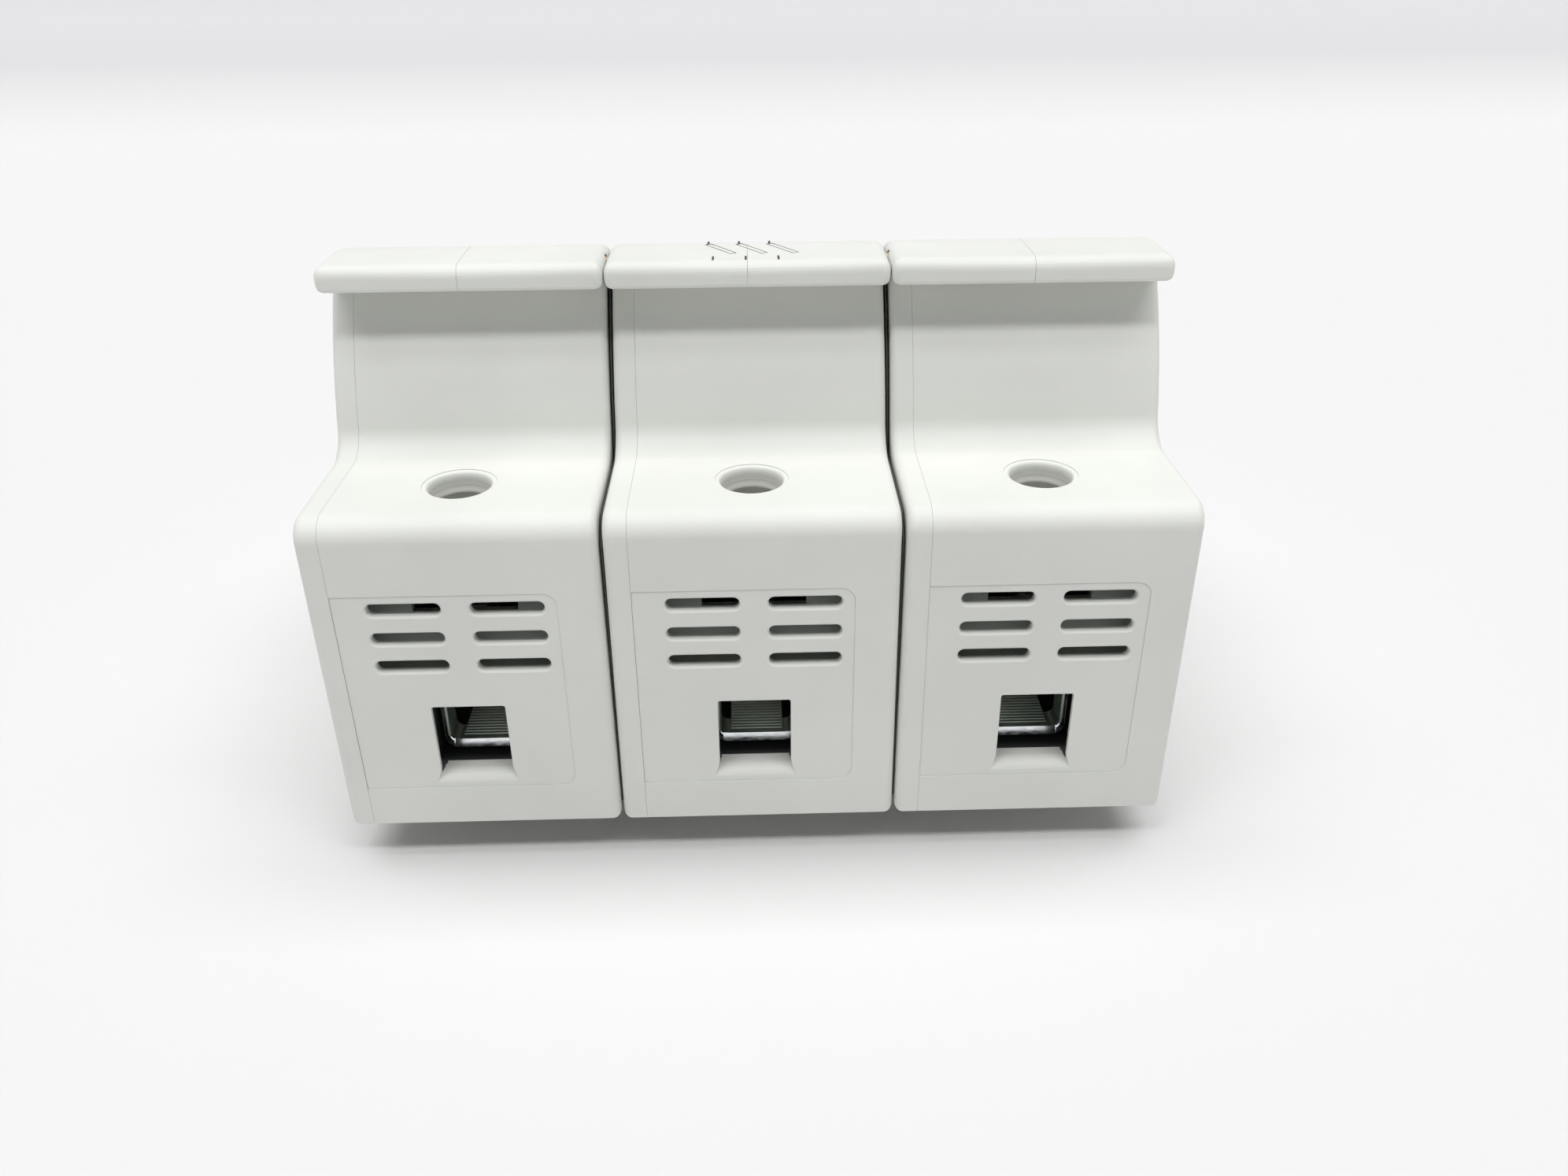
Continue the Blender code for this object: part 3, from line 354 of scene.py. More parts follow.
endFace = {
    "panelDepth": 0.10, "panelTilt": 0.02, "panelRightX": 13.7, "panelZ": (13.3, 45.05), "panelCorner": 2.0,
    "moat": 0.16, "moatDepth": 0.07, "mouthSteps": 8, "lipSteps": 4,
    "ventX": (1.97, 11.93), "ventRowsZ": (42.8, 38.3, 33.9), "ventHeight": 1.84, "ventFlat": 0.16, "ventLip": 0.46,
    "ventRise": 0.02,
    "plenumX": 14.0, "plenumY": (1.5, 5.6), "plenumZ": (31.5, 45.2),
    "webY": 6.9, "webZ": (29.5, 39.4),
    "entryX": -0.25, "entryHalf": 5.12, "entryZ": (15.56, 27.2), "entryLip": 0.25, "entryCorner": 0.3,
    "cheekDepth": 0.7, "cheekHalf": 6.9, "cheekLift": 0.03, "cheekTop": 0.6,
    "flareDepth": 2.3, "flareDrop": 1.5, "flareSpread": 0.85, "flareRise": 1.3, "flareInset": 0.02, "flareTail": 0.3,
    "flareSteps": 10,
    "roomHalf": 7.3, "roomY": (3.5, 20.3), "roomZ": (14.0, 43.0),
    "tongueHalf": 4.4, "tongueSlotY": 28.0, "tongueSlotZ": (19.9, 30.1),
}


def panelAt(x):
    e, left = endFace, housing["partingX"]
    return e["panelDepth"] - e["panelTilt"] * (x - left) / (e["panelRightX"] - left)


def mouthCutter(low, high, corner, lip, depth, over):
    # a slot with a rounded mouth: (x, z) corners low and high, cut from the face at y 0
    e = endFace
    mouth = rectangle(low[0] - lip, low[1] - lip, high[0] + lip, high[1] + lip, corner + lip)
    bm = thicken(drawOutline(mouth, e["mouthSteps"]), over)
    cap = max(bm.faces, key=lambda face: face.calc_center_median().z)
    for step in range(e["lipSteps"]):
        before, after = (pi / 2 * at / e["lipSteps"] for at in (step, step + 1))
        bmesh.ops.inset_region(bm, faces=[cap], thickness=lip * (sin(after) - sin(before)),
                               depth=lip * (cos(before) - cos(after)), use_even_offset=True, use_boundary=True)
    raised = bmesh.ops.extrude_face_region(bm, geom=[cap])["geom"]
    bmesh.ops.delete(bm, geom=[cap], context="FACES_ONLY")
    bmesh.ops.translate(bm, verts=onlyVerts(raised), vec=(0, 0, depth - lip))
    return lay(bm, "y", -over)


def flareCutter():
    # the rounded sill under a wire entry: it drops and widens towards the face in a quarter ellipse
    e, bm, rings = endFace, bmesh.new(), []
    inset, steps = e["flareInset"], e["flareSteps"]
    low, high, half = e["entryZ"][0], e["entryZ"][0] + e["flareRise"], e["entryHalf"]
    face = panelAt(e["entryX"]) - slack
    bends = [pi / 2 * step / steps for step in range(steps + 1)]
    stations = [(face + e["flareDepth"] * (1 - sin(a)), (1 + inset) * (1 - cos(a)) - inset) for a in bends]
    for y, share in [(face + e["flareDepth"] + e["flareTail"], -inset), *stations, (-housing["over"], 1.0)]:
        wide, tall = half + share * e["flareSpread"], low - share * e["flareDrop"]
        corners = (-wide, tall), (wide, tall), (half - inset, high), (inset - half, high)
        ring = [bm.verts.new((e["entryX"] + x, y, z)) for x, z in corners]
        rings.append([bm.edges.new((ring[i - 1], ring[i])) for i in range(4)])
    for before, after in zip(rings, rings[1:]):
        bmesh.ops.bridge_loops(bm, edges=before + after)
    bmesh.ops.holes_fill(bm, edges=rings[0] + rings[-1], sides=4)
    bmesh.ops.triangulate(bm, faces=bm.faces[:])  # its sides are twisted
    return faceOut(bm)


screwHole = {
    "y": 12.75, "mouthY": 11.95, "rim": 5.08, "rimEdge": ((0.12, 0.0), (0.03, 0.03), (0.0, 0.1)), "rimStep": 0.16,
    "bowl": 4.68, "hole": 4.15, "bowlDepth": 1.4, "bowlSteps": 8, "ledge": 3.7, "ledgeDepth": (1.95, 2.95),
    "ledgeSlope": ((0.39, 0.2), (0.12, 0.62), (0.0, 0.8)), "headRoom": 4.75, "headRoomZ": 44.4, "shankRoom": 3.3,
    "overlap": 0.5, "steps": 72,
}


def screwHoleCutters():
    # a stepped rim, a rounded bowl and a thin ring ledge, then the room for the screw's head
    s, top, over = screwHole, housing["shoulderZ"], housing["over"]
    edge, fall = s["bowl"] - s["hole"], s["bowlDepth"] - s["rimStep"]
    bends = [pi / 2 * step / s["bowlSteps"] for step in range(s["bowlSteps"] + 1)]
    bowl = [(s["hole"] + edge * (1 - sin(a)), top - s["rimStep"] - fall * (1 - cos(a))) for a in bends]
    rim = [(s["rim"] + out, top - down) for out, down in s["rimEdge"]]
    high, low = (top - depth for depth in s["ledgeDepth"])
    ledge = [(s["ledge"] + out, high - down) for out, down in s["ledgeSlope"]]
    profile = [(0, top + over), (rim[0][0], top + over), *rim, (s["rim"], top - s["rimStep"]), *bowl,
               (s["hole"], high), *ledge, (s["ledge"], low - s["overlap"]), (0, low - s["overlap"])]
    roomTop = endFace["roomZ"][1] - over
    below = [(0, low), (s["headRoom"], low), (s["headRoom"], s["headRoomZ"]), (s["shankRoom"], s["headRoomZ"]),
             (s["shankRoom"], roomTop), (0, roomTop)]
    places = (profile, s["mouthY"]), (below, s["y"])
    return [spinRound(outline, (0, y, 0), "z", s["steps"]) for outline, y in places]


def endCutters():
    e, over = endFace, housing["over"]
    left, right, (low, high) = housing["partingX"] - over, e["panelRightX"], e["panelZ"]
    panel = block([(left, low, 0), (right, low, e["panelCorner"]), (right, high, e["panelCorner"]), (left, high, 0)],
                  -over, e["panelDepth"], "y")
    cap = max(panel.faces, key=lambda face: face.calc_center_median().y)
    bmesh.ops.inset_region(panel, faces=[cap], thickness=e["moat"], depth=-e["moatDepth"], use_even_offset=True,
                           use_boundary=True)
    for vert in panel.verts:  # a fine groove round the panel, which is deeper at the parting
        if vert.co.y > 0:
            vert.co.y += panelAt(vert.co.x) + e["moatDepth"] - e["panelDepth"]
    made = [panel, roomBox(e["plenumX"], e["plenumY"], e["plenumZ"])]
    tall = e["ventHeight"] / 2
    for z in e["ventRowsZ"]:
        for side in (-1, 1):
            near, far = sorted(side * x for x in e["ventX"])
            vent = mouthCutter((near, z - tall), (far, z + tall), tall - e["ventFlat"] / 2, e["ventLip"],
                               e["plenumY"][0] + over, over)
            moveAll(vent, Matrix.Translation((0, panelAt((near + far) / 2) - e["ventRise"], 0)))
            made.append(vent)
    (front, back), (floor, top), (entryLow, entryHigh) = e["roomY"], e["roomZ"], e["entryZ"]
    lowWeb, highWeb = e["webZ"]
    entry = mouthCutter((e["entryX"] - e["entryHalf"], entryLow), (e["entryX"] + e["entryHalf"], entryHigh),
                        e["entryCorner"], e["entryLip"], front + over, over)
    made += [
        roomBox(e["roomHalf"], (front, back), (floor, lowWeb)),
        roomBox(e["roomHalf"], (e["webY"], back), (lowWeb - over, top)),
        roomBox(e["roomHalf"], (front, e["webY"] + over), (highWeb, top)),
        entry,
        flareCutter(),
        roomBox(e["cheekHalf"], (e["cheekDepth"], front + over),  # thin walls beside the entry
                (entryLow + e["cheekLift"], entryHigh + e["cheekTop"])),
        roomBox(e["tongueHalf"], (back - over, e["tongueSlotY"]), e["tongueSlotZ"]),
    ]
    return made + screwHoleCutters()


rivetSeat = {"yz": ((8.0, 10.9), (116.0, 10.9), (4.8, 49.6), (119.2, 49.6)), "hole": 1.8}
latchRoom = {"half": 6.5, "tipY": 78.0, "z": (1.7, 5.2), "slotHalf": 4.5, "slotZ": (-1.0, 2.0), "pegHalf": 1.6,
             "pegY": (100.2, 102.7), "pegZ": (2.0, 6.0)}


def roundBar(yz, radius, low, high, steps=32):
    return spinRound([(0, low), (radius, low), (radius, high), (0, high)], (0, *yz), "x", steps)


def shellHalf(inner, ends=(), rail=()):
    # the slab outside a parting face, with the fuse chamber, the hinge's bore and the rivet holes
    h = housing
    start = inner - h["over"]
    slab = lay(housingSlab(halfWidth - inner), "x", inner)
    bore = roundBar((hingeY, hingeZ), h["pinBore"], h["sideWallX"] - h["over"], h["pinBoreEnd"])
    holes = [roundBar(seat, rivetSeat["hole"], start, halfWidth + h["over"]) for seat in rivetSeat["yz"]]
    return cut(slab, chamberCutter(start, h["sideWallX"]), *ends, bore, *rail, *holes)


def buildMainShell():
    r = latchRoom
    lineEnd = endCutters()
    loadEnd = [mirrorCopy(tool, toLoadEnd) for tool in lineEnd]
    rail = [roomBox(r[half], (r["tipY"], unitLength), r[z]) for half, z in (("half", "z"), ("slotHalf", "slotZ"))]
    shell = shellHalf(housing["partingX"] + housing["seam"] / 2, lineEnd + loadEnd, rail)
    return join(shell, roomBox(r["pegHalf"], r["pegY"], r["pegZ"]))


def buildCoverShell():
    # drawn on the right, then mirrored
    return mirrorCopy(shellHalf(housing["seam"] / 2 - housing["partingX"]), acrossPole)


def leanWall(bm, side):
    # a copy whose side wall leans out towards the feet, where it nearly meets the next pole
    h, other = housing, bm.copy()
    for vert in other.verts:
        if vert.co.x * side > halfWidth - h["sideEdge"] - slack:
            share = (vert.co.z - h["endLift"]) / (h["cheekZ"] - h["endLift"])
            vert.co.x += side * (h["leanLow"] + share * (h["leanHigh"] - h["leanLow"]))
    return other


def markFaces(bm, number, wanted):
    for face in bm.faces:
        if wanted(face.calc_center_median(), face.normal):
            face.material_index = number


def onParting(x):
    return lambda middle, normal: abs(middle.x - x) < slack and abs(normal.x) > 0.9


def inRoom(middle, normal):
    # the terminal rooms behind the wire entries, at both ends
    e, y = endFace, min(middle.y, unitLength - middle.y)
    beside = y > e["cheekDepth"] - slack and abs(middle.x - e["entryX"]) > e["entryHalf"] and middle.z > e["entryZ"][0]
    behind = y > e["webY"] - slack or (y > e["roomY"][0] - slack or beside) and middle.z < e["webZ"][0] + slack
    return (abs(middle.x) < e["roomHalf"] + slack and behind and y < e["tongueSlotY"]
            and e["roomZ"][0] - slack < middle.z < e["roomZ"][1] + slack)


def inPlenum(middle, normal):
    e, y = endFace, min(middle.y, unitLength - middle.y)
    return (abs(middle.x) < e["plenumX"] + slack and e["plenumY"][0] - slack < y < e["webY"] + slack
            and e["plenumZ"][0] - slack < middle.z < e["plenumZ"][1] + slack)


def onLedge(middle, normal):
    # the ring ledge in each screw hole
    s, y = screwHole, min(middle.y, unitLength - middle.y)
    high, low = (housing["shoulderZ"] - depth for depth in s["ledgeDepth"])
    return Vector((middle.x, y - s["mouthY"])).length < s["hole"] + slack and low - slack < middle.z < high + slack


# dark sheets between the poles, set back from their outline: they stand in for the shade deep in the gaps

shadeSheet = {"inset": 1.7, "thick": 0.24, "lowZ": 9.0, "edge": 3.0}


def buildShadeSheet(x):
    b, h, bm = shadeSheet, housing, bmesh.new()
    inset, edge, low, top = b["inset"], b["edge"], b["lowZ"], housing["shoulderZ"] - b["inset"]
    neckRadius, cheekZ, earZ, end = h["neckRadius"] - inset, h["cheekZ"] - inset, h["earZ"] - inset, unitLength - inset
    line = flatVerts(bm, (inset, low), (inset, top - edge), (inset + edge, top), (onArc(neckRadius, top), top))
    neck = lineArc(bm, neckRadius, h["neckFootZ"], cheekZ, h["neckSteps"])
    load = flatVerts(bm, (h["cheekBendY"], cheekZ), (h["earFrontY"], earZ), (h["earRearY"], earZ), (h["earFootY"], top),
                     (end - edge, top), (end, top - edge), (end, low))
    bm.faces.new(line + neck + load)
    return lay(thicken(bm, b["thick"]), "x", x - b["thick"] / 2)


# the swing-out carrier: two halves with a lipped handle plate

carrier = {
    "seam": 0.04, "lipY": 26.0, "topZ": 82.09, "thick": 3.6, "rearY": 67.0, "outerEnd": 19.7, "innerEnd": 19.92,
    "slope": 27.0, "bendY": 39.5, "bendRound": 4.0, "bendSteps": 8, "nose": 1.8, "noseSteps": 6,
    "endShare": 0.8, "endLowShare": 0.62, "cornerShare": 0.62, "lowShare": 0.33, "near": 1.0,
    "outer": 62.1, "wall": 1.7, "bodyX": 17.1, "bodyWall": 1.6, "lowZ": 54.5, "steps": 20,
    "wallBendY": 41.0, "wallBack": (64.2, 67.0), "armY": 81.5, "hub": 5.5, "hubLow": -145.0,
    "drum": 15.9, "drumWall": 1.6, "drumLow": -35.0, "drumHigh": 100.0, "drumWallLow": -32.0,
    "backTop": ((66.2, 68.0), (84.0, 55.2)), "backWall": 1.8,
    "ribY": ((49.0, 51.0), (64.0, 66.0)), "ribArch": 13.0, "ribLowZ": 38.0, "ribTaperZ": 55.5, "ribSink": 1.5,
    "tabHalf": 6.0, "tabY": (27.0, 28.4), "tabZ": (32.0, 56.0), "tabRound": 1.2,
    "pin": 3.0, "pinEnd": 19.0, "pinEdge": 0.4, "tieYz": (34.0, 80.3), "tieBore": 1.2, "tieBoreDepth": 3.6,
    "tieBoreEnd": 30.0, "over": 1.0,
}


def plateHalf(endX):
    # drawn flat from above with its edges rounded, each to its own radius, then bent down behind the lip
    c, inner, near = carrier, -carrier["over"], carrier["near"]

    def roundShare(middle):
        # how much of the nose's rounding an edge gets, by where its middle lies
        atEnd, atNose, atRear = middle.x > endX - near, middle.y < c["lipY"] + near, middle.y > c["rearY"] - near
        onTop = middle.z > c["thick"] - near
        if middle.x < inner + near or not (atEnd or atNose or atRear):
            return 0.0
        if atEnd and atNose:
            return c["cornerShare"]
        if atEnd and not atRear:
            return c["endShare" if onTop else "endLowShare"]
        return 1.0 if onTop and atNose else c["lowShare"]

    bm = cuboid((inner, c["lipY"], 0), (endX, c["rearY"], c["thick"]))
    share = bm.edges.layers.float.new("bevel_weight_edge")
    for edge in bm.edges:
        edge[share] = roundShare((edge.verts[0].co + edge.verts[1].co) / 2)
    flat = asObject(bm)
    rounding = flat.modifiers.new("rounding", "BEVEL")
    rounding.limit_method = "WEIGHT"
    rounding.width = c["nose"]
    rounding.segments = c["noseSteps"]
    bm = evaluated(flat)
    weld(bm)
    slope, bend = radians(c["slope"]), c["bendRound"]
    for step in range(c["bendSteps"] + 1):
        y = c["bendY"] + bend * (step / c["bendSteps"] * 2 - 1)
        bmesh.ops.bisect_plane(bm, geom=bm.verts[:] + bm.edges[:] + bm.faces[:], plane_co=(0, y, 0), plane_no=(0, 1, 0))
    for vert in bm.verts:  # the slope starts in a short curve, and keeps its thickness
        past = vert.co.y - c["bendY"]
        curved = min(max(past + bend, 0), 2 * bend)
        drop = (past if past > bend else curved ** 2 / (4 * bend)) * tan(slope)
        depth = (c["thick"] - vert.co.z) * (1 + curved / (2 * bend) * (1 / cos(slope) - 1))
        vert.co.z = c["topZ"] - drop - depth
    bmesh.ops.triangulate(bm, faces=bm.faces[:])  # the bend twists its rounded edges
    return bm


def carrierSide():
    # the side wall: under the plate, along the drum, round the hub and up the arm
    c, bm = carrier, bmesh.new()
    under = c["topZ"] - c["thick"] / 2
    front = lineArc(bm, c["outer"] - c["wall"] / 2, c["lowZ"], under, c["steps"])
    back = flatVerts(bm, (c["wallBendY"], under), c["wallBack"])
    drum = hubArc(bm, c["drum"] - c["drumWall"] / 2, c["drumHigh"], c["drumWallLow"], c["steps"])
    hub = hubArc(bm, c["hub"], c["drumWallLow"], c["hubLow"], c["steps"])
    bm.faces.new(front + back + drum + hub + flatVerts(bm, (c["armY"], c["lowZ"])))
    return lay(thicken(bm, c["bodyWall"]), "x", c["bodyX"] - c["bodyWall"])


def curvedWall(arc, outer, wall, first, last, endX):
    # a wall about the hinge, from its outer arc to its inner one
    c, bm = carrier, bmesh.new()
    bm.faces.new(arc(bm, outer, first, last, c["steps"]) + arc(bm, outer - wall, last, first, c["steps"]))
    return lay(thicken(bm, endX + c["over"]), "x", -c["over"])


def fuseRib(low, high):
    # a saddle over the fuse, from the plate down its side
    c, bm = carrier, bmesh.new()
    foot, side = c["bodyX"] - c["bodyWall"], c["bodyX"] - c["bodyWall"] / 2
    top = c["topZ"] - (high - c["bendY"]) * tan(radians(c["slope"])) - c["ribSink"]
    reach = asin((hingeZ - c["ribLowZ"]) / c["ribArch"]) * 180 / pi
    outside = flatVerts(bm, (foot, c["ribLowZ"]), (side, c["ribTaperZ"]), (side, top), (-c["over"], top),
                        (-c["over"], hingeZ + c["ribArch"]))
    bm.faces.new(outside + sweepArc(bm, (0, hingeZ + c["ribArch"]), (0, hingeZ), -90 - reach, c["steps"]))
    return lay(thicken(bm, high - low), "y", low)


def buildCarrierHalf(endX):
    c, over = carrier, carrier["over"]
    under, inWall, edge = c["topZ"] - c["thick"] / 2, c["bodyX"] - c["bodyWall"] / 2, c["pinEdge"]
    start, end = (Vector(point) for point in c["backTop"])
    down = Vector((end.y - start.y, start.x - end.x)).normalized() * c["backWall"]
    back = block([(*point, 0) for point in (start, end, end + down, start + down)], -over, inWall, "x")
    low, high = c["tabZ"]
    tab = block([(-over, low, 0), (c["tabHalf"], low, c["tabRound"]), (c["tabHalf"], high, 0), (-over, high, 0)],
                *c["tabY"], "y")
    pin = spinRound([(0, c["bodyX"] - over), (c["pin"], c["bodyX"] - over), (c["pin"], c["pinEnd"] - edge),
                     (c["pin"] - edge, c["pinEnd"]), (0, c["pinEnd"])], (0, hingeY, hingeZ), "x", steps=32)
    front = curvedWall(lineArc, c["outer"], c["wall"], c["lowZ"], under, inWall)
    drum = curvedWall(hubArc, c["drum"], c["drumWall"], c["drumLow"], c["drumHigh"], inWall)
    ribs = [fuseRib(*span) for span in c["ribY"]]
    half = join(plateHalf(endX), carrierSide(), front, back, drum, *ribs, tab, pin)
    seamSide = cuboid((-halfWidth, 0, 0), (c["seam"] / 2, unitLength, 2 * c["topZ"]))
    tieBore = roundBar(c["tieYz"], c["tieBore"], c["outerEnd"] - c["tieBoreDepth"], c["tieBoreEnd"])
    return cut(half, seamSide, tieBore)


# cartridge fuse

fuse = {
    "y": (28.8, 89.1), "barrel": 12.65, "barrelEdge": 0.3, "cap": 13.5, "capBore": 12.7, "capLength": 15.9,
    "capEnd": 1.0, "capEdge": 0.9, "capMouth": (0.2, 0.25), "dimple": ((0.0, 0.25), (5.0, 0.25), (6.2, 0.0)),
    "crimpAt": 12.6, "crimpDepth": 0.25, "crimp": ((-0.5, 0.0), (-0.25, 0.7), (0.0, 1.0), (0.25, 0.7), (0.5, 0.0)),
    "steps": 96,
}


def edgedBar(radius, low, high, edge, centre, axis, steps):
    # a round bar with chamfered ends
    profile = [(0, low), (radius - edge, low), (radius, low + edge), (radius, high - edge), (radius - edge, high),
               (0, high)]
    return spinRound(profile, centre, axis, steps)


def buildBarrel():
    f, edge = fuse, fuse["barrelEdge"]
    low, high = f["y"][0] + f["capEnd"] + edge, f["y"][1] - f["capEnd"] - edge
    return edgedBar(f["barrel"], low, high, edge, (0, 0, hingeZ), "y", f["steps"])


def buildCap(y, turn):
    # a ferrule drawn from its closed end, with a rolled edge and a crimped ring
    f = fuse
    edge, out, inner, length = f["capEdge"], f["cap"], f["capBore"], f["capLength"]
    rim = [(out - edge + edge * sin(a), edge - edge * cos(a)) for a in (pi / 8 * step for step in range(5))]
    crimp = [(out - f["crimpDepth"] * share, f["crimpAt"] + along) for along, share in f["crimp"]]
    cutBack, cutDown = f["capMouth"]
    profile = [*f["dimple"], *rim, *crimp, (out, length - cutDown), (out - cutBack, length), (inner, length),
               (inner, f["capEnd"]), (0, f["capEnd"])]
    bm = spinRound(profile, (0, 0, 0), "y", f["steps"])
    moveAll(bm, Matrix.Translation((0, y, hingeZ)) @ turn)
    return bm


# spring clips that grip the fuse, with a strap to each terminal

clip = {"inner": 13.8, "outer": 15.2, "baseZ": (20.5, 22.5), "bend": 1.6, "innerBend": 0.8, "edge": 0.18,
        "lineY": (31.0, 43.0), "lineTop": 47.0, "flareTop": 52.0, "flare": 1.4, "loadY": (73.8, 79.5), "loadTop": 50.0,
        "tongueHalf": 4.1, "tongueZ": (27.5, 29.5), "tongueEnd": 8.2, "tongueBend": 0.8, "stepY": (23.2, 25.4),
        "flareBend": 1.0, "tipRound": 0.6, "overlap": 1.0}
band = {"inner": 15.5, "outer": 16.3, "baseZ": (19.2, 20.1), "topZ": 46.0, "bend": 1.2, "innerBend": 0.5, "edge": 0.12,
        "lineY": (33.0, 41.0), "loadY": (74.3, 78.8)}


def bothSides(right):
    return right + [(-x, z, radius) for x, z, radius in reversed(right)]


def softBlock(corners, low, high, axis, edge):
    bm = block(corners, low, high, axis, steps=5)
    softenSharp(bm, edge, steps=2)
    return bm


def jaws(span, top, flared):
    c, flareTop = clip, clip["flareTop"]
    right = [(c["outer"], c["baseZ"][0], c["bend"])]
    if flared:
        right += [(c["outer"], top, c["flareBend"]), (c["outer"] + c["flare"], flareTop, 0),
                  (c["inner"] + c["flare"], flareTop, 0), (c["inner"], top, c["flareBend"])]
    else:
        right += [(c["outer"], top, 0), (c["inner"], top, c["tipRound"])]
    right.append((c["inner"], c["baseZ"][1], c["innerBend"]))
    return softBlock(bothSides(right), *span, "y", c["edge"])


def strap(root):
    # from a clip's base up and over to its terminal, drawn at the line end
    c, bend, end = clip, clip["tongueBend"], clip["tongueEnd"]
    (low, high), (under, over), (far, near) = c["baseZ"], c["tongueZ"], c["stepY"]
    root += c["overlap"]
    corners = [(root, low, 0), (near, low, bend), (far, under, bend), (end, under, 0), (end, over, 0),
               (far + bend, over, bend), (near + bend, high, bend), (root, high, 0)]
    return softBlock(corners, -c["tongueHalf"], c["tongueHalf"], "x", c["edge"])


def buildLineClip():
    return join(jaws(clip["lineY"], clip["lineTop"], True), strap(clip["lineY"][0]))


def buildLoadClip():
    reach = mirrorCopy(strap(unitLength - clip["loadY"][1]), toLoadEnd)
    return join(jaws(clip["loadY"], clip["loadTop"], False), reach)


def buildBand(span):
    b = band
    right = [(b["outer"], b["baseZ"][0], b["bend"]), (b["outer"], b["topZ"], 0), (b["inner"], b["topZ"], 0),
             (b["inner"], b["baseZ"][1], b["innerBend"])]
    return softBlock(bothSides(right), *span, "y", b["edge"])


# screw terminal: a folded clamp cage and its screw

cage = {
    "inner": 5.3, "outer": 6.3, "y": (7.3, 18.2), "floorZ": (15.1, 16.4), "topZ": (29.9, 32.3), "corner": 2.0,
    "topCorner": 0.2, "innerCorner": 1.1, "lip": 0.42, "edge": 0.45, "bore": 3.3, "boreEdge": 0.3,
    "slant": 0.42, "slantInset": 0.3, "slantDrop": 0.1, "slantRise": 0.5, "notchY": 11.4, "notchX": 3.9, "notchZ": 21.0,
    "grooves": 12, "grooveStart": 1.6, "groovePitch": 0.74, "grooveDepth": 0.16, "grooveInset": 0.1, "skim": 0.05,
    "shadeSide": 0.1, "shadeSideRise": 0.9, "shadeFloor": 0.3, "over": 1.0,
}
screw = {"y": 12.75, "head": 3.8, "headZ": (44.7, 48.4), "headEdge": 0.45, "edgeShare": 0.3, "underEdge": 0.2,
         "shank": 3.0, "root": 2.55, "neck": 0.6, "pitch": 1.0, "thread": (0.15, 0.5, 0.85), "tip": 0.3,
         "endZ": 29.8, "slot": 1.3, "slotDepth": 1.9, "over": 1.0, "steps": 48}


def buildCage():
    c, over, deep, skim = cage, cage["over"], cage["grooveDepth"], cage["skim"]
    (front, back), (low, floor), (under, high) = c["y"], c["floorZ"], c["topZ"]
    wrap = block([(-c["outer"], low, c["corner"]), (c["outer"], low, c["corner"]), (c["outer"], high, c["topCorner"]),
                  (-c["outer"], high, c["topCorner"])], front, back, "y", steps=8)
    softenSharp(wrap, c["edge"], steps=3)
    room = mouthCutter((-c["inner"], floor), (c["inner"], under), c["innerCorner"], c["lip"], back - front + over, over)
    moveAll(room, Matrix.Translation((0, front, 0)))
    bore = [(0, under - over), (c["bore"], under - over), (c["bore"], high - c["boreEdge"]),
            (c["bore"] + c["boreEdge"] + over, high + over), (0, high + over)]
    tools = [room, spinRound(bore, (0, screw["y"], 0), "z", steps=32)]
    for side in (-1, 1):
        near, far = sorted((side * c["notchX"], side * (c["outer"] + over)))
        tools.append(cuboid((near, c["notchY"], low - over), (far, back + over, c["notchZ"])))
    drop, rise, slant = low - c["slantDrop"], floor + c["slantRise"], front + c["slant"]
    half = c["inner"] - c["slantInset"]
    tools.append(block([(front - over, drop, 0), (front, drop, 0), (slant, floor + skim, 0), (slant, rise, 0),
                        (front - over, rise, 0)], -half, half, "x"))
    half = c["notchX"] - c["grooveInset"]
    for groove in range(c["grooves"]):
        y = front + c["grooveStart"] + groove * c["groovePitch"]
        corners = [(y - deep - skim, floor + skim, 0), (y, floor - deep, 0), (y + deep + skim, floor + skim, 0)]
        tools.append(block(corners, -half, half, "x"))
    return cut(wrap, *tools)


# faces inside the clamp cage, which are painted darker as shade
def insideCage(middle, normal):
    c, (low, floor) = cage, cage["floorZ"]
    if abs(middle.x) > c["inner"] - c["shadeSide"] and middle.z > floor + c["shadeSideRise"]:
        return True  # its side walls get the painted shade too
    return (abs(middle.x) < c["inner"] + 2 * slack and floor - c["shadeFloor"] < middle.z < c["topZ"][0] + 2 * slack
            and middle.y > c["y"][0] + c["slant"] + 2 * slack)


def buildScrew():
    s, head, shank, edge = screw, screw["head"], screw["shank"], screw["headEdge"]
    (low, high), (crest, root, foot) = s["headZ"], s["thread"]
    soft = edge * s["edgeShare"]
    profile = [(0, high), (head - edge, high), (head - soft, high - soft), (head, high - edge),
               (head, low + s["underEdge"]), (head - s["underEdge"], low), (shank, low)]
    z = low - s["neck"]
    while z - s["pitch"] > s["endZ"]:
        profile += [(shank, z), (shank, z - crest), (s["root"], z - root), (shank, z - foot)]
        z -= s["pitch"]
    profile += [(shank - s["tip"], s["endZ"]), (0, s["endZ"])]
    body = spinRound(profile, (0, s["y"], 0), "z", s["steps"])
    slotY = s["y"] - s["slot"] / 2, s["y"] + s["slot"] / 2
    return cut(body, roomBox(head + s["over"], slotY, (high - s["slotDepth"], high + s["over"])))


# rail latch and its folded spring

